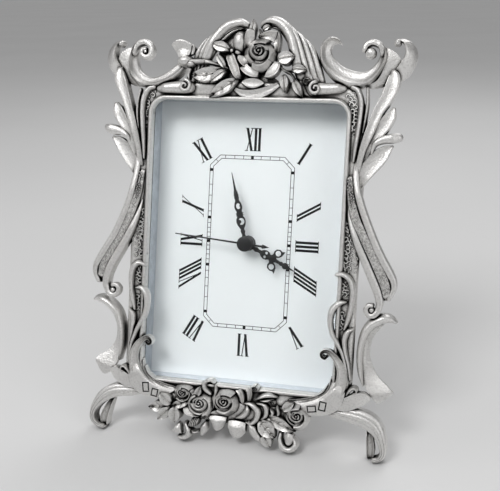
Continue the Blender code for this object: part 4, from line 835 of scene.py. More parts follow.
# %% Geometry Nodes helpers
def new_tree(name, *titles):
    """A node group with geometry in and out, and a named number input for each size and the seed."""
    tree = bpy.data.node_groups.new(name, "GeometryNodeTree")
    tree.interface.new_socket("Geometry", in_out="INPUT", socket_type="NodeSocketGeometry")
    for title in titles:
        kind = "NodeSocketInt" if title == "Seed" else "NodeSocketFloat"
        tree.interface.new_socket(title, in_out="INPUT", socket_type=kind)
    tree.interface.new_socket("Geometry", in_out="OUTPUT", socket_type="NodeSocketGeometry")
    return tree, tree.nodes.new("NodeGroupInput")


def close_tree(tree, copies, finish):
    """Every tree ends the same way: real geometry, then its material."""
    realize = tree.nodes.new("GeometryNodeRealizeInstances")
    coat = node(tree, "GeometryNodeSetMaterial", Material=finish)
    join(tree, (copies, "Instances", realize, "Geometry"), (realize, "Geometry", coat, "Geometry"),
         (coat, "Geometry", tree.nodes.new("NodeGroupOutput"), "Geometry"))


def scatter_tree(name, density, *sizes):
    """A tree that scatters copies of something over a surface, with its nodes for points and copies."""
    tree, given = new_tree(name, "Spacing", *sizes, "Seed")
    spread = {"distribute_method": "POISSON"}
    points = node(tree, "GeometryNodeDistributePointsOnFaces", spread, Density_Max=density)
    copies = tree.nodes.new("GeometryNodeInstanceOnPoints")
    join(tree, (given, "Geometry", points, "Mesh"), (given, "Spacing", points, "Distance Min"),
         (given, "Seed", points, "Seed"), (points, "Points", copies, "Points"))
    close_tree(tree, copies, PEWTER)
    return tree, given, points, copies


def evaluated(holder):
    """The mesh that an object's modifiers or curve settings give."""
    bpy.context.view_layer.update()
    return bpy.data.meshes.new_from_object(holder.evaluated_get(bpy.context.evaluated_depsgraph_get()))


def grow_piece(name, base_mesh, tree, values, finish):
    """Runs a tree on a base mesh, keeps the result as a plain mesh, and makes it a piece."""
    base = show(name + "_base", base_mesh)
    modifier = base.modifiers.new("nodes", "NODES")
    modifier.node_group = tree
    names = {item.name: item.identifier for item in tree.interface.items_tree if item.in_out == "INPUT"}
    for title, value in values.items():
        modifier[names[title]] = value
    mesh = evaluated(base)
    base.modifiers.remove(modifier)
    bpy.data.objects.remove(base)
    mesh.name = name
    return finish_piece(name, mesh, finish, crease=60)


# %% Stippled bands
STIPPLE_SHARE = 0.8
STIPPLE_SINK = 0.08
STIPPLE_SEEDS = {"left": 3, "right": 8}


def band_strip(run, share, y, side, steps=7):
    """An open strip along the middle of a run, in place, for grains to sit on."""
    points = []
    for centre, width, way in zip(*run_frames(run, steps)):
        for u in (-share, share):
            spot = (side * (centre[0] + way[0] * u * width), y, centre[1] + way[1] * u * width)
            points.append(tuple(CLOCK @ Vector(spot)))
    faces = [(i, i + 1, i + 3, i + 2) for i in range(0, len(points) - 2, 2)]
    mesh = bpy.data.meshes.new("strip")
    mesh.from_pydata(points, [], faces)
    return mesh


stipple, given, points, copies = scatter_tree("stipple", 4.0e6, "Grain")
ball = node(stipple, "GeometryNodeMeshIcoSphere", Subdivisions=1)
join(stipple, (given, "Grain", ball, "Radius"), (ball, "Mesh", copies, "Instance"))
for drawn, side, word in ((LEFT_RIBBON, -1, "left"), (RIGHT_RIBBON, 1, "right")):
    strip = band_strip(drawn["grained"], STIPPLE_SHARE, RIBBON_BACK - GRAINED_HEIGHT + STIPPLE_SINK, side)
    sizes = {"Spacing": 0.00072, "Grain": 0.00038, "Seed": STIPPLE_SEEDS[word]}
    grow_piece(f"ribbon_stipple_{word}", strip, stipple, sizes, PEWTER)

# %% [markdown]
# ## Stems, tendrils and rail texture
#
# Thin stems and tendrils climb over the rails, and between them the ground is filled with small cast curls.
# The tendrils are drawn one by one. The curls are a texture that only has to look busy, so Geometry Nodes
# scatter short arcs of wire over strips of the rail and turn each one at random.

# %% Stems and tendrils
RIGHT_TENDRILS = (
    [(44.8, 68.6, 0.9), (47.3, 67, 1), (48.9, 62, 1.05), (48.8, 56, 1), (48.1, 49, 0.9), (47.4, 43, 0.8),
     (46.9, 38, 0.5)],
    [(42.7, -10, 0.9), (45.5, -9.8, 1.05), (48.4, -12, 1.15), (49.7, -16, 1.1), (49.5, -22, 1),
     (48.5, -28, 0.9), (47.2, -33, 0.5)],
    [(47.4, -21.3, 0.3), (44.4, -22, 1.1), (41.6, -25.2, 1.3), (40.9, -30, 1.15), (42, -35, 1.05),
     (44.5, -39, 1), (46.8, -43, 0.95), (48.4, -48, 0.9), (49.3, -53, 0.8), (49.6, -58, 0.6)],
    [(50.8, -32.6, 0.4), (48.6, -33.9, 1), (47.4, -37.6, 1), (48, -42.4, 0.9), (49.6, -47.6, 0.8),
     (50.6, -54, 0.6)],
    [(51.2, 68, 0.6), (51.4, 62, 0.7), (51, 56, 0.6), (50.2, 50, 0.5)],
)
LEFT_TENDRILS = (
    [(42.5, 67.3, 0.9), (45, 66.3, 1), (47.1, 62.5, 1.05), (47.6, 57, 1), (47.1, 50, 0.9), (46.4, 43, 0.8),
     (46, 36, 0.5)],
    [(43.6, -11.6, 0.9), (46.4, -10.9, 1.05), (48.8, -13, 1.15), (49.7, -17, 1.1), (49.4, -22, 1),
     (48.5, -27, 0.9), (47.5, -32, 0.5)],
    [(47.2, -22.2, 0.3), (44.6, -22.1, 1.1), (42.3, -24.7, 1.3), (41.8, -29, 1.15), (42.5, -33.5, 1.05),
     (44.5, -38, 1), (46.4, -42, 0.95), (48, -47, 0.9), (48.5, -51, 0.8), (48.6, -57, 0.6)],
    [(50, -32.2, 0.4), (48.3, -33.8, 1), (47.9, -37.8, 1), (48.3, -43, 0.8), (49.4, -48, 0.5)],
    [(48.8, 66, 0.6), (49.6, 60, 0.7), (49.6, 55, 0.6), (49, 49, 0.5)],
)
TENDRIL_BACK = -2.2


def rail_tendrils(runs):
    return [ribbon(wider(run, 1.15), ROUND, TENDRIL_BACK, height=3.3, ends=(0.8, 0.7)) for run in runs]


cast_pair(LEFT_TENDRILS, RIGHT_TENDRILS, rail_tendrils)

# %% Cast curls on the rails
CURL_STRIPS = (
    [(45.6, 13, 0.8), (46.4, 6, 2), (46.8, 0, 3), (47, -8.4, 3.4)],
    [(45.8, -13, 2), (46, -20, 2.2)],
    [(45.4, -26, 2), (45.2, -33, 1.6)],
    [(44.4, 66, 2), (46, 60, 1.1), (46, 50, 0.7)],
    [(46.6, -47, 1), (47, -52, 0.8)],
)
CURL_GROUND, CURL_SWEEP = -0.62 * RAIL_HEIGHT, math.radians(265)
CURL_SEEDS = {"left": 5, "right": 11}

cast_curls, given, points, copies = scatter_tree("cast_curls", 1.0e6, "Radius", "Wire")
bend = node(cast_curls, "GeometryNodeCurveArc", Resolution=9, Sweep_Angle=CURL_SWEEP)
wire = node(cast_curls, "GeometryNodeCurvePrimitiveCircle", Resolution=6)
sweep = node(cast_curls, "GeometryNodeCurveToMesh", Fill_Caps=True)
any_angle = node(cast_curls, "FunctionNodeRandomValue", {"data_type": "FLOAT"})
any_angle.inputs[3].default_value = math.tau
axis = node(cast_curls, "FunctionNodeAxisAngleToRotation", Axis=(0, 0, 1))
spin = node(cast_curls, "FunctionNodeRotateRotation", {"rotation_space": "LOCAL"})
join(
    cast_curls, (given, "Radius", bend, "Radius"), (given, "Wire", wire, "Radius"),
    (bend, "Curve", sweep, "Curve"), (wire, "Curve", sweep, "Profile Curve"),
    (sweep, "Mesh", copies, "Instance"), (given, "Seed", any_angle, "Seed"), (any_angle, 1, axis, "Angle"),
    (points, "Rotation", spin, "Rotation"), (axis, "Rotation", spin, "Rotate By"),
    (spin, "Rotation", copies, "Rotation"),
)
for side, word in ((-1, "left"), (1, "right")):
    ground = merged("rail_ground", [band_strip(run, 1.0, CURL_GROUND, side) for run in CURL_STRIPS])
    sizes = {"Spacing": 0.0014, "Radius": 0.00085, "Wire": 0.0004, "Seed": CURL_SEEDS[word]}
    grow_piece(f"rail_curls_{word}", ground, cast_curls, sizes, PEWTER)

# %% [markdown]
# ## Lower corners and feet
#
# At each lower corner a plate with two stamped rectangles joins the rails. A spandrel rises from it beside
# the glass and ends in a small ring, and a leaf rolls outwards above the bracket. The foot grows out of the
# plate as a grooved strap that droops, rolls under and comes up again behind. The floor cuts the feet flat in
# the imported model, so no point goes under the floor here either. The stamps have crisp edges, so they are cut
# by a Boolean.

# %% Points of the lower corners
# The strap is the foot, and its return is the end that comes up behind. A stamp is (x, z, half width, half
# height, turn).
RIGHT_CORNER = {
    "spandrel": [
        (40.4, -45.2, 0.6), (39.5, -45.9, 0.7), (38.3, -45.1, 0.75), (38.2, -43.8, 0.8), (39.5, -42.9, 0.9),
        (41.4, -43.2, 1.1), (44.2, -45.4, 1.5), (46.6, -49, 2), (47.4, -53.4, 2.4), (46.6, -58, 2.6),
        (43.6, -62.4, 2.7), (39, -66, 2.4),
    ],
    "leaf": (
        [(46, -63.6, 4), (49.6, -61.6, 4.2), (53.4, -59.4, 4.8), (57, -59.2, 4.6), (59.6, -60.8, 3.2)],
        [(46, -65.4, 4.3), (50.6, -64, 4.2), (54, -62.4, 4.3), (57, -62, 4.2), (59.6, -61.8, 3.2)],
        [(46, -67.6, 4.2), (50, -67.6, 4.1), (54, -66, 3.9), (57, -64.4, 3.4), (59, -62.8, 2.8)],
    ),
    "roll": [
        (49.6, -61, 0.6), (50.6, -59, 0.9), (52.2, -57.6, 0.9), (53.6, -58, 0.8), (53.7, -59.2, 0.7),
        (52.6, -59.6, 0.5),
    ],
    "strap": [
        (41, -67.6, 2), (44, -68.4, 2.6), (48, -69, 2.9), (52, -69.5, 3), (56.8, -70.5, 3.3),
        (60.8, -72.4, 3.3), (63.8, -75.6, 2.6), (65.7, -80, 1.9), (66.3, -84.2, 1.4), (64.9, -87, 1.1),
        (62.2, -88.2, 1),
    ],
    "return": [(59.8, -75.6, 1.2), (60.2, -79, 1.6), (60.8, -83.5, 1.9), (60.8, -87, 1.6)],
    "stamps": ((39.8, -66.5, 1.35, 1.8, -8), (35.2, -68.2, 1.8, 1.25, 10)),
}
LEFT_CORNER = {
    "spandrel": [
        (41, -46.2, 0.6), (40.2, -47, 0.7), (39, -46.6, 0.75), (38.8, -45.4, 0.8), (39.8, -44.3, 0.9),
        (41.4, -44.3, 1.1), (44, -46.4, 1.5), (46, -50, 2), (46.5, -54.6, 2.3), (45, -59.4, 2.6),
        (41.4, -64, 2.7), (37, -66.8, 2.4),
    ],
    "leaf": (
        [(45, -63.8, 4), (48.6, -61.8, 4.2), (52.4, -59.6, 4.8), (55.4, -58.6, 4.6), (58, -60, 3.2)],
        [(45, -65.4, 4.3), (49.6, -64, 4.2), (53, -62.6, 4.3), (55.8, -61.6, 4.2), (58, -61.2, 3.2)],
        [(45, -67.6, 4.2), (49, -67.6, 4.1), (53, -66, 3.9), (55.6, -64.4, 3.4), (57.4, -62.4, 2.8)],
    ),
    "roll": [
        (48.4, -61.6, 0.6), (49.4, -59.6, 0.9), (51, -58.2, 0.9), (52.4, -58.6, 0.8), (52.5, -59.8, 0.7),
        (51.4, -60.2, 0.5),
    ],
    "strap": [
        (41, -67.4, 2), (44, -68.2, 2.5), (48, -68.9, 2.8), (52, -69.3, 2.9), (56.6, -70.4, 3),
        (60.6, -72.8, 2.8), (64, -76.6, 2), (66.1, -80.8, 1.3), (66, -84.4, 1.05), (63.9, -86.8, 1),
        (61.2, -87.8, 0.9),
    ],
    "return": [(58.2, -75.2, 1), (59.8, -79, 1.6), (61.2, -83, 2), (61.2, -86.4, 1.6)],
    "stamps": ((40.2, -66.5, 1.3, 2, -6), (36, -68.6, 1.3, 1.6, 10)),
}
CREASES = (
    [(42.6, -55, 0.3), (41.8, -59, 0.42), (38.6, -62.6, 0.45), (33, -65.2, 0.42), (26, -67.2, 0.35)],
    [(41.4, -57.4, 0.3), (39.6, -60.4, 0.4), (36, -62.8, 0.42), (31, -64.4, 0.4), (25, -65.8, 0.3)],
)
CORNER_PLATE = (
    [(42.6, -54, 1.4), (40.8, -59.4, 2.6), (37.4, -62.3, 2.6), (32.2, -64.6, 2.6), (26, -66.2, 2.2)],
    [(44.6, -54, 2.2), (43.8, -59, 4), (40.6, -63, 4), (35.6, -66, 3.8), (29, -68.4, 3.2)],
    [(46.6, -55, 2.2), (46, -60.2, 4.1), (43, -64.8, 4.1), (37.6, -67.8, 4), (30, -70, 3.4)],
    [(48.8, -56, 2.2), (48.8, -61.5, 3.8), (46.6, -67.2, 3.8), (40.6, -70.4, 3.8), (31, -71.6, 3.2)],
)
print("stamps:", len(LEFT_CORNER["stamps"]), "left and", len(RIGHT_CORNER["stamps"]), "right")

# %% Engraving
STAMP_FLOOR, STAMP_TOP = -4.4, -8


def engraved(shape, cutters):
    """A shape with grooves cut into it."""
    body = show("body", mesh_of(shape, weld=False))
    tools = [show("tool", mesh_of(cutter, weld=False)) for cutter in cutters]
    for tool in tools:
        cut = body.modifiers.new("cut", "BOOLEAN")
        cut.operation = "DIFFERENCE"
        cut.solver = "EXACT"
        cut.object = tool
    mesh = evaluated(body)
    for made in (body, *tools):
        bpy.data.objects.remove(made)
    return [tuple(v.co) for v in mesh.vertices], [tuple(p.vertices) for p in mesh.polygons]


def stamp(x, z, across, up, turn, groove=0.28):
    """A rectangular groove, as the body that is cut away."""
    c, s = math.cos(math.radians(turn)), math.sin(math.radians(turn))
    loops = []
    for grow, y in ((-groove, STAMP_FLOOR), (-groove, STAMP_TOP), (groove, STAMP_TOP), (groove, STAMP_FLOOR)):
        sides = [(sx * (across + grow), sz * (up + grow)) for sx, sz in CORNERS]
        loops.append([(x + u * c - v * s, y, z + u * s + v * c) for u, v in sides])
    return loft(loops, closed=True)


# %% Spandrels, curled leaves and feet
FLOOR_RISE = math.tan(LEAN)
FLOOR_HEIGHT = -89.0
STRAP_FLUTES = flutes(3, 0.035)


def on_floor(shape):
    """Moves points that reach under the floor up onto it."""
    points, faces = shape
    return [(x, y, max(z, FLOOR_HEIGHT + y * FLOOR_RISE)) for x, y, z in points], faces


def lower_corner(drawn):
    shapes = [
        ribbon(drawn["spandrel"], CUPPED, ON_RAIL - 0.1, height=4.1, ends=(0.9, 0.9)),
        sheet(ON_RAIL + 0.4, *drawn["leaf"]),
        ribbon(drawn["roll"], ROUND, ON_RAIL + 0.2, height=5, ends=(0.8, 1), steps=5),
        ribbon(drawn["strap"], STRAP_FLUTES, FREE + 0.6, height=7.2, ends=(0.85, 0.8), steps=7),
        ribbon(drawn["return"], CUPPED, FREE + 1.8, height=5.2, ends=(0.8, 1)),
    ]
    shapes += [ribbon(run, ROUND, -1, height=3.6, ends=(0.8, 0.7)) for run in CREASES]
    shapes.append(engraved(sheet(ON_RAIL, *CORNER_PLATE), [stamp(*place) for place in drawn["stamps"]]))
    return [on_floor(shape) for shape in shapes]


cast_pair(LEFT_CORNER, RIGHT_CORNER, lower_corner)

# %% [markdown]
# ## Roses and veined leaves
#
# A rose is rings of petals round a wound-up bud. Each petal is a cup: deep where it grows from the heart,
# high at its rolled lip, and tilted a little so that one side lies over the next petal. Every other petal
# stands a little higher and further out, and every ring stands lower than the one inside it. Loose petals are
# drawn one by one, from the line that they grow on to their lip. A leaf is a relief too. A long one has a
# raised edge, a midrib, engraved veins and a saw-toothed outline, and a short one has only its edge and
# midrib.

# %% Roses
# How a petal's wall goes through its lip, as (reach, rise)
LIP_STEPS = (
    (0.55, -0.5), (0.78, -0.42), (0.88, -0.2), (0.95, -0.03), (1, 0), (1.05, -0.05), (1.12, -0.2),
    (1.22, -0.42), (1.34, -0.66), (1.46, -0.88), (1.52, -1),
)
# The bowls of a rose: petals, shift down, reach across and up, height and depth
BOWLS = ((4, 0.2, 0.72, 0.66, 0.8, 0.44), (3, 0.04, 0.46, 0.38, 0.97, 0.32))
PETAL_COLUMNS = 17
PETAL_SPREAD = 1.3 * math.pi
PETAL_WIND, PETAL_WAVE, PETAL_TILT = 0.07, 0.02, 0.12
PETAL_EDGE = 0.75
# Every other petal reaches further and stands higher by these shares
OVER_REACH, OVER_RISE = 0.09, 0.05
FOLDS, FOLD_TURN, FOLD_HALF_WIDTH = 3, 118, 0.11


def cup(x, z, angle, spread, reach, back, high, depth):
    """One petal of a bowl: a wall that rises to a lip and falls away outside it. It winds inwards."""
    grid = []
    for t, rise in LIP_STEPS:
        row = []
        for a in np.linspace(-1, 1, PETAL_COLUMNS):
            wind = 1.05 - PETAL_WIND * (a + 1) + PETAL_WAVE * math.sin(4 * a + 3 * angle)
            theta = angle + a * spread
            edge = 0.5 * max(0.0, abs(a) - PETAL_EDGE) / (1 - PETAL_EDGE)
            height = high + depth * (rise - PETAL_TILT * a - 0.1 * edge)
            row.append((x + reach[0] * t * wind * math.cos(theta), back - max(height, 0.4),
                        z + reach[1] * t * wind * math.sin(theta)))
        grid.append(row)
    return relief(grid, back)


def rose(x, z, radius, back, height, turn=0.0, rings=2):
    """A rose, or with one ring a bud that opens."""
    shapes = []
    for level, (count, down, across, up, high, depth) in enumerate(BOWLS[2 - rings:]):
        for k in range(count):
            angle = turn + level + math.tau * k / count
            over = 1 + OVER_REACH * (k % 2)
            reach = (over * across * radius, over * up * radius)
            spread = PETAL_SPREAD / count
            top = (high + OVER_RISE * (k % 2)) * height
            shapes.append(cup(x, z - down * radius, angle, spread, reach, back, top, depth * height))
    for k in range(FOLDS):
        first, half = math.degrees(turn) + FOLD_TURN * k, FOLD_HALF_WIDTH * radius
        fold = spiral((x, z), (0.31 - 0.02 * k) * radius, 0.2 * radius, first, FOLD_TURN, half, 7)
        shapes.append(ribbon(fold, PILLOW, back, (0.96 + 0.03 * k) * height, ends=(0.9, 1), steps=4))
    shapes.append(boss(x, z, 0.15 * radius, 0.12 * radius, back, 1.04 * height, turn=40, power=0.3))
    return shapes


# %% Petals and leaves
LEAF_ACROSS = (0, 0.05, 0.12, 0.24, 0.38, 0.52, 0.66, 0.78, 0.87, 0.94, 1)
LONG_LEAF = 8.6
VEINS, VEIN_SLANT, VEIN_WIDTH = 3.4, 0.7, 0.16
MIDRIB_RISE, MIDRIB_WIDTH = 0.1, 0.08
LEAF_EDGE, LEAF_EDGE_WIDTH, LEAF_EDGE_FALL = 0.86, 0.14, 0.4


def arc(points, steps=12):
    """A round arc through three points."""
    first, middle, last = np.asarray(points, float)
    t = np.linspace(0, 1, steps + 1)[:, None]
    return first * (1 - t) * (1 - 2 * t) + middle * 4 * t * (1 - t) + last * t * (2 * t - 1)


def petal(base, lip, heights, back=ON_RAIL):
    """A loose petal, from the line that it grows on to its lip, with heights for foot, dish and edge."""
    base, lip = arc(base), arc(lip)
    foot, dish, edge = heights
    ends = 1 - 0.16 * np.linspace(-1, 1, len(base)) ** 2
    lines = []
    for t, height in ((0, foot), (0.4, dish), (0.7, 0.5 * (dish + edge)), (0.88, edge), (0.97, 0.96 * edge),
                      (1, 0.7 * edge)):
        lines.append(np.column_stack([base + (lip - base) * t, height * ends]))
    return sheet(back, *lines, along=1, across=3)


def veined_leaf(run, height, back=ON_RAIL, steps=8):
    """A leaf along a run, relief on both sides of its midrib."""
    middle, half, across = run_frames(run, steps)
    long = np.linalg.norm(middle[-1] - middle[0]) > LONG_LEAF
    rim, cut, tooth = (0.2, 0.08, 0.07) if long else (0.06, 0.0, 0.0)
    grid = []
    for i, (centre, width, side) in enumerate(zip(middle, half, across)):
        t = i / (len(middle) - 1)
        fall = min(1.0, 0.7 + 2 * t) * min(1.0, 0.7 + 2 * (1 - t))
        row = []
        for u in (*(-a for a in reversed(LEAF_ACROSS)), *LEAF_ACROSS[1:]):
            a = abs(u)
            phase = abs((VEINS * t - VEIN_SLANT * a) % 1.0 - 0.5) * 2
            vein = math.exp(-((phase / VEIN_WIDTH) ** 2)) * (1 - a**4)
            midrib = math.exp(-((u / MIDRIB_WIDTH) ** 2))
            edge = max(0.0, (a - LEAF_EDGE) / LEAF_EDGE_WIDTH) ** 2
            rise = 1 - rim + rim * a**1.6 - LEAF_EDGE_FALL * edge
            rise += MIDRIB_RISE * midrib - cut * vein
            reach = u * width * (1 + tooth * ((VEINS * t - 0.4) % 1.0 - 0.5) * a**3)
            row.append((centre[0] + side[0] * reach, back - height * fall * rise,
                        centre[1] + side[1] * reach))
        grid.append(row)
    return relief(grid, back)


# %% [markdown]
# ## Crest
#
# The crest stands over the opening. Two fluted wings meet in a heart-shaped arch, and inside it are the
# largest rose, a bud, loose petals and leaves. Each wing is a low fluted sheet with a few round ribs over it,
# and a tube runs in from each corner and ends in a coil.

# %% Points of the crest
WINGS = (
    [(-0.6, 92.4, 0.4), (-1.6, 94, 1), (-5, 95.2, 1.4), (-10, 93.9, 1.7), (-13.6, 91, 1.8),
     (-16.4, 87.4, 1.9), (-18.4, 83.4, 2), (-19.8, 79.6, 1.9)],
    [(-13, 92.6, 0.5), (-16.4, 90, 1), (-19.2, 86.6, 1.3), (-21.2, 82.6, 1.4), (-22.4, 78.8, 1.4)],
    [(-17.6, 89.6, 0.4), (-20.6, 86.6, 0.9), (-22.8, 83, 1.2), (-24.2, 79, 1.2)],
    [(4.6, 93.2, 0.4), (5.4, 94.8, 1), (8.4, 96, 1.4), (12, 95.2, 1.7), (15.2, 92.6, 1.9), (17.6, 89, 1.9),
     (18.8, 85.4, 1.8), (19.8, 81.6, 1.9), (21, 77.6, 1.9), (22.6, 72.6, 1.7)],
    [(14.4, 94.8, 0.5), (17.6, 92.4, 1), (20.2, 88.6, 1.4), (21.8, 84.4, 1.6), (23.4, 79.6, 1.7),
     (25.2, 74.4, 1.7), (26.8, 70, 1.4)],
    [(19.6, 91.6, 0.4), (22.4, 88.6, 1), (24.4, 84.6, 1.4), (26.2, 79.6, 1.6), (28, 74.2, 1.6),
     (29.4, 70, 1.3)],
    [(23.6, 88.4, 0.4), (26.2, 85, 1), (28.2, 80.6, 1.3), (30, 75.4, 1.4), (31.6, 70.6, 1.3)],
)
WING_GROUNDS = (
    [(-4, 93.6, 1.2), (-9, 92.6, 2), (-15, 88.4, 3), (-19.4, 83, 3.6), (-21.6, 78, 3.4), (-22, 72, 3)],
    [(8, 94.6, 1.2), (13, 93.4, 2), (18.4, 88.6, 3.2), (22, 82, 4.4), (24.6, 76, 5), (27, 69, 5)],
)
TUBES = (
    [(-40, 66.6, 1.5), (-38, 66.8, 2.1), (-35, 67, 2.4), (-31, 67.2, 2.7), (-28, 67.4, 2.9),
     (-26.6, 67.5, 2.8)],
    [(41, 68, 1.4), (39, 67.9, 2), (36, 67.8, 2.3), (31, 67.6, 2.5), (29.6, 67.5, 2.4)],
)
# Leaves are a run and a height. Petals are a base, a lip, and the heights of foot, dish and edge.
CREST_LEAVES = (
    ([(-9.6, 74.6, 0.8), (-14, 73.6, 2.6), (-19, 72.6, 3.3), (-23, 72.4, 1.9), (-25.4, 72.8, 0.1)], 5),
    ([(-9.8, 74.4, 0.6), (-12, 73, 1.9), (-14.4, 71.2, 1.7), (-16.7, 69.3, 0.1)], 5.6),
    ([(-4.6, 71, 0.8), (-8, 68.8, 2.6), (-11.6, 66.6, 2.8), (-14.6, 64.6, 1.6), (-16.8, 62.9, 0.1)], 5),
    ([(-8.6, 83.4, 0.7), (-11.2, 84.4, 2.2), (-13.8, 85, 2.1), (-16.6, 86.2, 0.1)], 5),
    ([(-14.4, 81.4, 0.3), (-13, 79.6, 1.4), (-11.4, 77.4, 1.4), (-10, 75.2, 0.3)], 4.4),
    ([(12.6, 79.4, 0.8), (14.8, 79.8, 2.7), (17.2, 80.3, 2.9), (20.2, 80.6, 0.1)], 6),
    ([(19, 75, 0.5), (21, 75.3, 1.9), (23, 75.3, 1.9), (25.5, 75, 0.1)], 6.2),
    ([(15.8, 73.2, 0.5), (16, 71, 1.8), (16.3, 68.6, 1.8), (16.7, 65.6, 0.1)], 6),
    ([(20.2, 70.8, 0.5), (21.2, 68.8, 1.7), (22.4, 66.6, 1.7), (23.9, 64, 0.1)], 6),
    ([(0.6, 89, 0.6), (1.1, 92, 1.5), (1.4, 94.4, 1.1), (1.3, 96.4, 0.1)], 4.6),
    ([(4, 88.4, 0.4), (4.4, 90.4, 0.9), (4, 92.4, 0.1)], 4),
    ([(5.4, 91.4, 0.3), (7, 92.8, 1.3), (8.8, 93.6, 0.1)], 4),
)
CREST_PETALS = (
    ([(-0.8, 77.6), (1.6, 75.6), (4.6, 74.8)], [(-3.8, 75.4), (0, 72.4), (4.2, 71.8)], (4.4, 4.4, 5.3)),
    ([(8.4, 75.6), (10.6, 77.2), (11.2, 79)], [(7.4, 71.8), (12.2, 72.8), (14.2, 77.4)], (4.4, 4.4, 5.3)),
    ([(-0.6, 80.6), (-0.8, 79), (0, 77.4)], [(-4.8, 81.2), (-4.4, 78.6), (-1.4, 75.8)], (3.6, 3.4, 4.8)),
    ([(-2.3, 70.3), (2.2, 71.4), (6.6, 70.1)], [(-2.8, 69.5), (2, 67.2), (7, 69.3)], (4.1, 3.8, 3.8)),
    ([(-5.4, 67.4), (2.4, 66.6), (12.4, 69.8)], [(-6.2, 66.4), (3, 62.4), (14, 68.6)], (3.4, 3, 2.9)),
    ([(1.8, 86.6), (0.2, 85), (-0.4, 83)], [(2.4, 91), (-1.2, 91.2), (-1.8, 84)], (4, 4, 5.8)),
    ([(4.4, 87.4), (7.6, 87.8), (10.4, 86.6)], [(5, 89.8), (8.6, 91.2), (12.4, 91.2)], (4, 3.8, 5.8)),
    ([(10.4, 86.4), (11, 84.6), (11, 82.4)], [(12.6, 91), (13.6, 87.6), (13, 82.6)], (4, 3.6, 5.4)),
    ([(-31.2, 79.8), (-29, 80.2), (-26.6, 81)], [(-35, 85.6), (-31, 87.8), (-25.6, 85.4)], (4.6, 3.8, 4.8)),
    ([(-26.8, 81), (-25.8, 81.4), (-25, 81.6)], [(-26.4, 86), (-25, 85.4), (-24.2, 83.6)], (3, 3, 3.8)),
)
CREST_STEMS = (
    ([(13.6, 76.4, 0.5), (16, 74.8, 0.6), (18.6, 73.4, 0.6), (20.4, 70.6, 0.5)], 4.4),
    ([(16, 74.8, 0.5), (19, 74.9, 0.5)], 4.4),
    ([(-9, 75.6, 0.6), (-13, 76.8, 0.7), (-17, 78, 1), (-20, 78.4, 1.4)], 4.2),
    ([(-27, 78.2, 1.2), (-23, 78.2, 1.4), (-20, 78.3, 1.1)], 5.2),
    ([(-26, 75, 0.8), (-26.8, 72.4, 1), (-26.4, 70, 0.8)], 4),
    ([(-24.4, 73.6, 0.5), (-24.2, 71.4, 0.8), (-25, 69.8, 0.6)], 4),
)
CREST_BED = (
    [(-14, 93, 0.6), (-6, 94, 0.6), (-1, 92, 0.6)], [(-15, 80, 1), (-6, 80, 1), (2, 80, 1)],
    [(-22, 64, 2), (0, 64, 2), (22, 64, 2)],
)
SEPAL = [(-7.8, 80.2, 1.9), (-6.7, 77.6, 2.1), (-5.4, 74.6, 2), (-4.5, 72.6, 1.6)]
# Each bud is its place, its half width and half height, and how far it stands out
CREST_BUDS = (
    (-4.3, 86.9, 3.4, 4.8, 6.2), (-5, 82.2, 1.6, 1.4, 5), (-7.6, 83, 1.2, 1.2, 4.6),
    (-28.6, 78.5, 3.9, 2.7, 6), (-25.6, 77.2, 2.3, 1.7, 5.8),
)
# Each coil is its place and its turn
COILS = ((-27.8, 67.6, -470), (29.5, 67.5, 470))
OUTER_RIBS = (0, 3)
print("crest:", len(WINGS), "ribs,", len(CREST_LEAVES), "leaves and", len(CREST_PETALS), "loose petals")

# %% Crest
crest = [ribbon(run, flutes(4, 0.2), ON_RAIL + 0.3, height=2.8, ends=(0.8, 1)) for run in WING_GROUNDS]
for rib, run in enumerate(WINGS):
    wide, high = (1.35, 4.2) if rib in OUTER_RIBS else (1.15, 3.3)
    crest.append(ribbon(wider(run, wide), ROUND, ON_RAIL, high, ends=(0.6, 0.75)))
crest.append(sheet(0.4, *CREST_BED))
for run, (x, z, turn) in zip(TUBES, COILS):
    crest.append(ribbon(run, ROUND, OVER, height=3.4, ends=(0.6, 1)))
    crest.append(ribbon(spiral((x, z), 2.7, 0.5, 90, turn, 0.85, 15), PILLOW, OVER, height=4.3, steps=4))
crest += [veined_leaf(run, height) for run, height in CREST_LEAVES]
crest += [petal(*drawn) for drawn in CREST_PETALS]
crest += [ribbon(run, ROUND, ON_RAIL, height) for run, height in CREST_STEMS]
crest.append(ribbon(SEPAL, CUPPED, ON_RAIL, height=5.4))
crest += rose(5.1, 82.5, 6.4, ON_RAIL, 8.2, 0.5)
crest += [boss(x, z, across, up, ON_RAIL, height, power=0.35) for x, z, across, up, height in CREST_BUDS]
crest += rose(25.5, 70.5, 2.4, ON_RAIL, 5, 0.2, 1)
cast("crest_flowers", crest)

# %% [markdown]
# ## Garland
#
# Roses, buds and leaves hang along the bottom rail. They are laid on a thin apron, so the garland is one
# casting with the rail from behind.

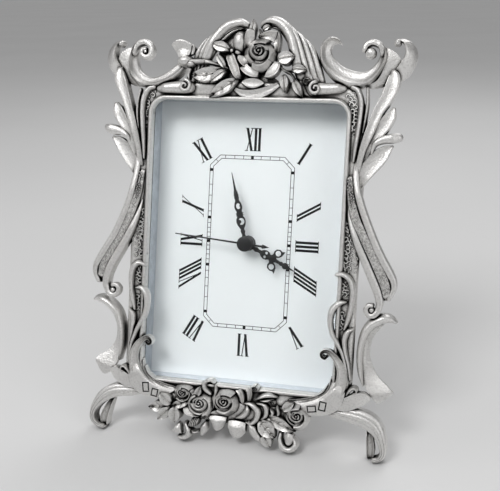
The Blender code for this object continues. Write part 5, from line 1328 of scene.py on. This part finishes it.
# %% Points of the garland
GARLAND_LEAVES = (
    ([(-27.6, -72.6, 0.6), (-29.4, -71.6, 2.1), (-31.4, -70.2, 2.1), (-33.6, -68.2, 0.1)], 5),
    ([(-28.6, -74.1, 0.6), (-32, -74.4, 2.1), (-35.2, -74.9, 1.9), (-38.9, -75.5, 0.1)], 4.8),
    ([(-28.4, -74.6, 0.6), (-30.4, -76.6, 2), (-32, -78.4, 1.8), (-34.2, -80.7, 0.1)], 5),
    ([(-26, -73.8, 0.6), (-26, -76, 2.3), (-25.9, -78.6, 2.2), (-25.9, -81, 0.1)], 5.4),
    ([(-19.4, -70.4, 0.5), (-22, -71.6, 1.5), (-25, -72.9, 1.5), (-28, -74, 0.4)], 4.8),
    ([(12.8, -75.4, 0.8), (15, -77.8, 2.9), (17.4, -80.2, 2.8), (20, -82.8, 0.2)], 5.4),
    ([(14.2, -81.8, 0.8), (15.6, -83.4, 2.1), (16.8, -85.2, 1.9), (18, -87.3, 0.2)], 4.6),
    ([(15.5, -73.5, 0.8), (19.6, -75.2, 2.1), (24, -77.2, 2), (28.8, -79, 0.1)], 4.8),
    ([(22.4, -70.2, 0.4), (24, -69, 1.5), (25.6, -67.9, 1.5), (27.6, -66.4, 0.1)], 5),
    ([(-16.4, -68.2, 0.6), (-15.8, -66.6, 1.3), (-15.2, -65.2, 1.1), (-14.6, -63.6, 0.1)], 4.6),
    ([(-19, -67.4, 0.5), (-18, -66.4, 1), (-16.8, -65.8, 0.1)], 4.4),
)
GARLAND_PETALS = (
    ([(-9.8, -76.4), (-6.2, -75.8), (-2.2, -76.2)], [(-9.6, -78.4), (-6.6, -83), (-2.4, -79)], (4.2, 5.2, 3)),
    ([(-1.2, -77.6), (2.6, -77), (6.6, -77.8)], [(-1, -82.6), (2.6, -85.4), (6.6, -82.2)], (4.2, 5.4, 3.2)),
    ([(1.2, -64), (3, -66), (4, -69)], [(3.6, -62.8), (5.4, -65.6), (5.2, -69.4)], (3.8, 3.8, 5)),
    ([(5.4, -62.6), (6.6, -65), (6.8, -68)], [(8.6, -61.8), (9, -64.6), (8.2, -67.6)], (3.4, 3.6, 4.8)),
    ([(-8, -77.4), (-6, -76.4), (-3.6, -76.6)], [(-9.8, -75), (-6.4, -73.6), (-2, -75)], (3.6, 3.6, 4)),
    ([(-19.8, -73), (-18, -75), (-15, -76)], [(-22.4, -74.4), (-20.4, -77), (-15, -77.4)], (3.2, 3.4, 4.4)),
    ([(24.6, -80), (26.4, -79.8), (28, -81)], [(24.4, -84.2), (26, -85.2), (28, -84)], (4.4, 5, 4.4)),
    ([(-24.4, -81), (-23.4, -81.6), (-22.8, -82.8)], [(-27.4, -85.4), (-25, -85.6), (-22.6, -86)],
      (3.6, 4.8, 4)),
)
GARLAND_BANDS = (
    [(5, -69, 0.5), (8.8, -69.4, 1.2), (11.5, -72, 1.6), (11.3, -75.6, 1.4), (8.8, -77.8, 0.9),
     (6.6, -77.4, 0.4)],
    [(2.2, -76, 0.5), (5.2, -74.8, 1.3), (7, -72.2, 1.3), (6.9, -69.8, 0.7)],
    [(11.2, -68.6, 0.5), (14.4, -68.8, 1.1), (15.7, -71.4, 1.3), (15, -74.2, 1), (13, -75.4, 0.4)],
    [(10.6, -66.8, 0.4), (13.4, -65.2, 1.1), (16.6, -64.4, 1.3), (19.4, -64.8, 0.6)],
    [(12.6, -67.2, 0.4), (15.4, -66.8, 0.8), (18, -66, 0.5)],
    [(-10.2, -66.6, 0.9), (-12.6, -64.6, 1.2), (-13, -62.4, 1.05), (-11.6, -60.9, 0.8), (-9.8, -60.7, 0.7),
     (-8.7, -61.8, 0.5)],
    [(-8, -62.6, 0.5), (-7.4, -65, 0.9), (-7.8, -69, 0.8), (-8.4, -72.6, 0.5)],
    [(22.2, -80.6, 1), (22, -83.4, 1.2), (23.2, -86.2, 1.5), (25.8, -87.4, 1.6), (28, -86.4, 1.5),
     (28.8, -84.4, 1.3), (27.9, -82, 0.9)],
    [(-21, -81.2, 0.9), (-19.6, -83.6, 1.3), (-19.6, -86, 1.4), (-21.6, -87.6, 1.2), (-24, -87.6, 0.8)],
    [(8, -77.4, 0.8), (9.6, -80, 2), (12, -83, 1.9), (14.6, -85.6, 0.4)],
    [(-11.6, -79.6, 0.7), (-12.4, -82.4, 1.8), (-13.4, -85.2, 0.8)],
    [(20, -69, 0.5), (21, -71.4, 0.8), (20.4, -73.6, 0.5)],
    [(17.2, -70.4, 0.5), (18.4, -72, 1), (17.4, -74, 0.6)],
    [(-14.4, -83.6, 0.5), (-16.4, -84.4, 0.7), (-18, -83.8, 0.4)],
)
# Each rose is its place, radius, height, turn and number of rings
GARLAND_ROSES = (
    (-3.2, -68.6, 5.6, 7, 0.3, 2), (29, -71.6, 5.2, 6.2, 0.8, 2), (-14.8, -71, 6, 5.4, 1.4, 2),
    (-22.6, -67, 4.3, 5.4, 0.1, 2), (10, -61.9, 2.6, 5, 0.6, 1), (-12.4, -77, 2.2, 4.6, 0.2, 1),
    (17.8, -67.4, 2.2, 4.4, 0.9, 1),
)
APRON = [(-31, -70.5, 2.4), (-17, -73.6, 4.4), (0, -74.4, 5), (15, -74, 4.6), (27, -73, 3.6), (31, -71, 2)]
LEAF_WIDER, BAND_WIDER = 1.25, 1.12
BUD_X, BUD_Z, BUD_TURN = -16.9, -80, -20
print("garland:", len(GARLAND_ROSES), "roses,", len(GARLAND_LEAVES), "leaves,", len(GARLAND_BANDS), "bands")

# %% Garland
garland = [ribbon(APRON, FLAT, ON_RAIL + 0.45, height=2.6)]
garland += [veined_leaf(wider(run, LEAF_WIDER), height) for run, height in GARLAND_LEAVES]
garland += [petal(*drawn) for drawn in GARLAND_PETALS]
for run in GARLAND_BANDS:
    garland.append(ribbon(wider(run, BAND_WIDER), ROUND, ON_RAIL, height=4.8, ends=(0.8, 0.8)))
for x, z, radius, height, turn, rings in GARLAND_ROSES:
    garland += rose(x, z, radius, ON_RAIL, height, turn, rings)
for step in range(-2, 3):
    up, height = 2.9 - 0.2 * abs(step), 6.2 - 0.3 * abs(step)
    garland.append(boss(BUD_X + 0.8 * step, BUD_Z + 0.25 * step, 0.8, up, ON_RAIL, height, BUD_TURN))
cast("garland_flowers", [on_floor(shape) for shape in garland])

# %% [markdown]
# ## Dial print
#
# The dial carries a track of two fine lines with clipped corners, a tick for every minute, a black block at
# every hour, and Roman numerals. The numerals stand on the rays from the hand axis with their feet inwards,
# and those at the sides are slanted so that their ends stay level with the track. All of it is ink, a
# twentieth of a millimetre thick.

# %% Track lines
TRACK_HALF_WIDTH, TRACK_HALF_HEIGHT, TRACK_CLIP = 19.6, 39.3, 4.7
TRACK_GAP, LINE_WIDTH = 1.5, 0.26
INK_HEIGHT = 0.05


def clipped(inset):
    """The track's outline, moved inwards."""
    w, h = TRACK_HALF_WIDTH - inset, TRACK_HALF_HEIGHT - inset
    c = TRACK_CLIP - inset * (2 - math.sqrt(2))
    top = [(w, h - c), (w - c, h), (c - w, h), (-w, h - c)]
    return top + [(-x, -z) for x, z in top]


def line_ring(inset):
    loops = []
    for extra, lift in ((0, 0), (0, 1), (LINE_WIDTH, 1), (LINE_WIDTH, 0)):
        loops.append([(x, DIAL_FRONT - lift * INK_HEIGHT, z) for x, z in clipped(inset + extra)])
    return loft(loops, closed=True)


make_piece("track_lines", [line_ring(0), line_ring(TRACK_GAP)], INK)


# %% Minute ticks
def track_point(degrees):
    """Where a ray at a clock angle crosses the middle of the track, and the track's direction there."""
    sine, cosine = math.sin(math.radians(degrees)), math.cos(math.radians(degrees))
    outline = clipped(TRACK_GAP / 2 + LINE_WIDTH / 2)
    for (x0, z0), (x1, z1) in zip(outline, outline[1:] + outline[:1]):
        dx, dz = x1 - x0, z1 - z0
        determinant = sine * -dz + cosine * dx
        if abs(determinant) < 1e-9:
            continue
        reach = (x0 * -dz + z0 * dx) / determinant
        along = (sine * z0 - cosine * x0) / determinant
        if reach > 0 and -1e-6 <= along <= 1 + 1e-6:
            return reach * sine, reach * cosine, math.atan2(dz, dx)
    raise ValueError(degrees)


def tick_base(minutes):
    """A point for each tick, with the rotation that stands its bar across the track."""
    mesh = bpy.data.meshes.new("tick_points")
    places, turns = [], []
    for minute in minutes:
        x, z, slope = track_point(6 * minute)
        places.append(tuple(CLOCK @ Vector((x, DIAL_FRONT - INK_HEIGHT / 2, z))))
        turns += list((clock_turn @ Matrix.Rotation(-slope, 3, "Y")).to_euler())
    mesh.from_pydata(places, [], [])
    mesh.attributes.new("turn", "FLOAT_VECTOR", "POINT").data.foreach_set("vector", turns)
    return mesh


ticks, given = new_tree("ticks", "Width", "Length", "Height")
size = ticks.nodes.new("ShaderNodeCombineXYZ")
bar = ticks.nodes.new("GeometryNodeMeshCube")
stored_turn = node(ticks, "GeometryNodeInputNamedAttribute", {"data_type": "FLOAT_VECTOR"}, Name="turn")
copies = ticks.nodes.new("GeometryNodeInstanceOnPoints")
join(
    ticks, (given, "Width", size, "X"), (given, "Height", size, "Y"), (given, "Length", size, "Z"),
    (size, "Vector", bar, "Size"), (bar, "Mesh", copies, "Instance"), (given, "Geometry", copies, "Points"),
    (stored_turn, "Attribute", copies, "Rotation"),
)
close_tree(ticks, copies, INK)
minutes = [m for m in range(60) if m % 5]
sizes = {"Width": 0.00024, "Length": 0.0016, "Height": 0.00005}
grow_piece("minute_ticks", tick_base(minutes), ticks, sizes, INK)
sizes = {"Width": 0.0013, "Length": 0.0017, "Height": 0.00006}
grow_piece("hour_blocks", tick_base(range(0, 60, 5)), ticks, sizes, INK)

# %% Roman numerals
STROKE, HAIRLINE, SERIF, PITCH = 1.16, 0.42, 0.3, 1.78
V_WIDTH = 3.9
# Each letter has its strokes as (foot, head, width), its serifs as (start, end), and its width
LETTERS = {
    "I": ([(0.38, 0.38, STROKE)], [(0, PITCH)], PITCH),
    "V": ([(1.55, 0.35, STROKE), (1.95, 3.1, HAIRLINE)], [(0, 1.7), (2.6, 3.9)], V_WIDTH),
    "X": ([(2.55, 0.35, STROKE), (0.7, 3.0, HAIRLINE)], [(0, 1.6), (2.4, 3.9)], 3.9),
}
NUMERALS = ("I", "II", "III", "IIII", "V", "VI", "VII", "VIII", "IX", "X", "XI", "XII")
SIDE_HOURS, SIDE_BAND = (2, 3, 4, 8, 9, 10), (21.6, 32.1)
END_HOURS, END_BAND = (12, 6), (41.4, 51.7)
CORNER_BAND = (42.0, 52.4)


def glyph_strokes(text):
    """The strokes and serifs of a numeral across its width, and its total width."""
    strokes, serifs, pen = [], [], 0.0
    for letter in text:
        lines, feet, width = LETTERS[letter]
        strokes += [(pen + foot, pen + head, wide) for foot, head, wide in lines]
        serifs += [(pen + start, pen + end) for start, end in feet]
        pen += width
    return strokes, serifs, pen


def numeral(text, hour):
    """One numeral as ink shapes on the dial. A V has no serif at its foot."""
    angle = math.radians(30 * hour)
    ray = (math.sin(angle), math.cos(angle))
    if hour in SIDE_HOURS:
        foot, head = [(r * ray[0] / abs(ray[0]), r * ray[1] / abs(ray[0])) for r in SIDE_BAND]
        across = (0, -1 if hour < 6 else 1)
    else:
        foot, head = [(r * ray[0], r * ray[1]) for r in (END_BAND if hour in END_HOURS else CORNER_BAND)]
        across = (math.cos(angle), -math.sin(angle))
    strokes, serifs, width = glyph_strokes(text)

    def place(a, t):
        a -= width / 2
        return [foot[i] + (head[i] - foot[i]) * t + across[i] * a for i in (0, 1)]

    def ink(corners):
        return loft([[(x, DIAL_FRONT - lift, z) for x, z in corners] for lift in (0, INK_HEIGHT)])

    shapes = [ink([place(f, 0), place(f + w, 0), place(h + w, 1), place(h, 1)]) for f, h, w in strokes]
    thick = SERIF / math.dist(foot, head)
    for start, end in serifs:
        shapes.append(ink([place(start, 1 - thick), place(end, 1 - thick), place(end, 1), place(start, 1)]))
        if text[0] != "V" or start >= V_WIDTH:
            shapes.append(ink([place(start, 0), place(end, 0), place(end, thick), place(start, thick)]))
    return shapes


numeral_shapes = [shape for hour, text in enumerate(NUMERALS, 1) for shape in numeral(text, hour)]
make_piece("roman_numerals", numeral_shapes, INK)

# %% [markdown]
# ## Hands
#
# The hour and minute hands are stamped from sheet and pierced, with scrolled loops. A flat curve with holes
# is the natural way to draw a stamping: Blender fills it, and a small bevel rounds the edges. The second hand
# is a plain needle with an arrow tail, under a round cap.


# %% Stampings
def oval(x, z, across, up, first, last, count):
    """Part of an oval, between two angles."""
    return [(x + across * math.cos(a), z + up * math.sin(a)) for a in np.linspace(first, last, count)]


def stamped(loops, front, back, angle, edge=0.06):
    """A flat filled curve with holes, made solid, turned to its clock angle and put in place."""
    curve = bpy.data.curves.new("stamping", "CURVE")
    curve.dimensions = "2D"
    curve.fill_mode = "BOTH"
    curve.extrude = (back - front) / 2 - edge
    curve.bevel_depth = edge
    curve.bevel_resolution = 1
    curve.offset = -edge
    for loop in loops:
        spline = curve.splines.new("POLY")
        spline.points.add(len(loop) - 1)
        for point, (x, z) in zip(spline.points, loop):
            point.co = (x, z, 0, 1)
        spline.use_cyclic_u = True
    holder = show("stamping", curve)
    mesh = evaluated(holder)
    bpy.data.objects.remove(holder)
    upright = Matrix(((1, 0, 0, 0), (0, 0, 1, (front + back) / 2), (0, 1, 0, 0), (0, 0, 0, 1)))
    mesh.transform(CLOCK @ rotation(angle, "Y") @ upright)
    bm = bmesh.new()
    bm.from_mesh(mesh)
    bmesh.ops.remove_doubles(bm, verts=bm.verts, dist=1e-6)
    bmesh.ops.recalc_face_normals(bm, faces=bm.faces)
    bm.to_mesh(mesh)
    bm.free()
    return mesh


# %% Hands
HOUR_ANGLE, MINUTE_ANGLE, SECOND_ANGLE = 116.0, 346.0, 275.0
HUB, HOUR_BORE, MINUTE_BORE = 3.4, 2.65, 1.65
# Right edges of the hands from the hub to the tip, and of the needle from its tail
HOUR_EDGE = [
    (0.75, 4.2), (1.15, 5.4), (0.7, 6.6), (0.8, 7.6), (1.7, 8.6), (2.1, 9.9), (1.9, 11.2), (1.2, 12.2),
    (1.5, 12.8), (2.3, 13.1), (3.4, 12.9), (4.7, 13.5), (5.3, 15), (4.9, 16.3), (5.5, 17.4), (4.1, 17.2),
    (3, 17), (1.9, 16.2), (1.2, 14.9), (0.75, 15.6), (0.65, 17.4), (1, 18.2), (0.7, 18.8), (1.35, 19.6),
    (1.45, 20.4), (0.95, 21.5), (0.45, 22.4), (0.1, 25),
]
MINUTE_EDGE = [
    (0.7, 4.4), (1.05, 5.6), (0.75, 6.6), (1.2, 7.4), (1.85, 8.6), (2.15, 10), (1.95, 11.4), (1.25, 12.5),
    (1.8, 12.9), (1.3, 13.3), (1.9, 13.8), (1.2, 14.2), (1.25, 14.9), (1.7, 15.9), (1.8, 17), (1.5, 18.3),
    (0.95, 19.4), (0.85, 20.2), (1.2, 20.8), (0.85, 21.4), (1.2, 22.1), (0.8, 22.8), (0.95, 23.3),
    (0.55, 24.2), (0.1, 32.3),
]
NEEDLE_EDGE = [(0, -11.3), (0.55, -9.6), (0.95, -8.2), (0.45, -7.7), (0.45, 0), (0.24, 32.6)]
# The cap, as (radius, depth)
CAP = ((0.66, 4.7), (HUB, 4.7), (HUB, 3.7), (HUB - 0.12, 3.52), (HUB - 0.4, 3.44), (0.05, 3.4))

hub_arc = [(HUB * math.sin(a), -HUB * math.cos(a)) for a in np.linspace(0, math.radians(165), 14)]
hour_holes = [circle(side * x, z, radius) for x, z, radius in ((0.95, 10.2, 0.62), (3.35, 14.95, 1.25))
              for side in (-1, 1)]
bow = oval(0.15, 10.1, 1.4, 1.5, -2.3, 2.3, 20) + oval(-0.8, 10.1, 0.9, 0.9, 1.4, -1.4, 10)
drop = oval(0, 17, 0.95, 1.3, 0.4, math.tau - 0.4, 20) + [(0.4, 16.9)]
hour_loops = [both_sides(hub_arc + HOUR_EDGE), circle(0, 0, HOUR_BORE), *hour_holes]
minute_loops = [both_sides(hub_arc + MINUTE_EDGE), circle(0, 0, MINUTE_BORE), bow, drop]
stampings = (
    ("hour_hand_stamping", stamped(hour_loops, 7.2, 7.6, HOUR_ANGLE), "hour_hand", "hour"),
    ("minute_hand_stamping", stamped(minute_loops, 5.8, 6.2, MINUTE_ANGLE), "minute_hand", "minute"),
    ("second_hand_needle", stamped([both_sides(NEEDLE_EDGE)], 4.42, 4.78, SECOND_ANGLE, 0.05), "second_hand",
     "seconds"),
)
for name, mesh, node_name, body in stampings:
    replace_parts(finish_piece(name, mesh, LACQUER, body), node_name)
make_piece("second_hand_cap", [lathe(0, 0, CAP, 48)], LACQUER, "seconds")

# %% [markdown]
# ## Glass, spacer and the rest
#
# The pane, the bright spacer behind it and the dial are plain sheets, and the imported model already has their
# shapes, so they only get their finishes. So do the board, the tabs, the strut, and the movement with its
# wheels.

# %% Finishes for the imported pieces
TAB_PIECES = [f"{kind}_{number}" for kind in ("retaining_tab", "tab_screw") for number in range(1, 5)]
HINGE_PIECES = ["hinge_plate", "hinge_pin", "hinge_rivet_left", "hinge_rivet_right"]
PACKED_FINISHES = (
    (GLASS, ["glass_pane"]),
    (BRIGHT, ["dial_spacer", "contact_positive", "contact_negative"]),
    (ENAMEL, ["dial_plate"]),
    (BOARD, ["back_board"]),
    (PEWTER, ["strut_leg"]),
    (STEEL, [*HINGE_PIECES, *TAB_PIECES, "stator"]),
    (CASE, ["movement_case", "movement_cover", "setting_knob"]),
    (SLEEVE, ["aa_cell"]),
    (RESIN, ["circuit_board"]),
    (COPPER, ["coil"]),
    (MAGNET, ["rotor"]),
    (GEAR, ["step_wheel", "seconds_wheel", "third_wheel", "motion_wheel", "hour_wheel"]),
    (BRASS, ["centre_wheel", "cannon_pinion"]),
)
for finish, names in PACKED_FINISHES:
    for name in names:
        materials = frame["nodes"][name].data.materials
        materials.clear()
        materials.append(finish)
print("finished", sum(len(names) for finish, names in PACKED_FINISHES), "packed pieces")

visual_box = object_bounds()
for word, box in (("cad", cad_box), ("visual", visual_box)):
    print(word, "box", [[round(v, 4) for v in corner] for corner in box])
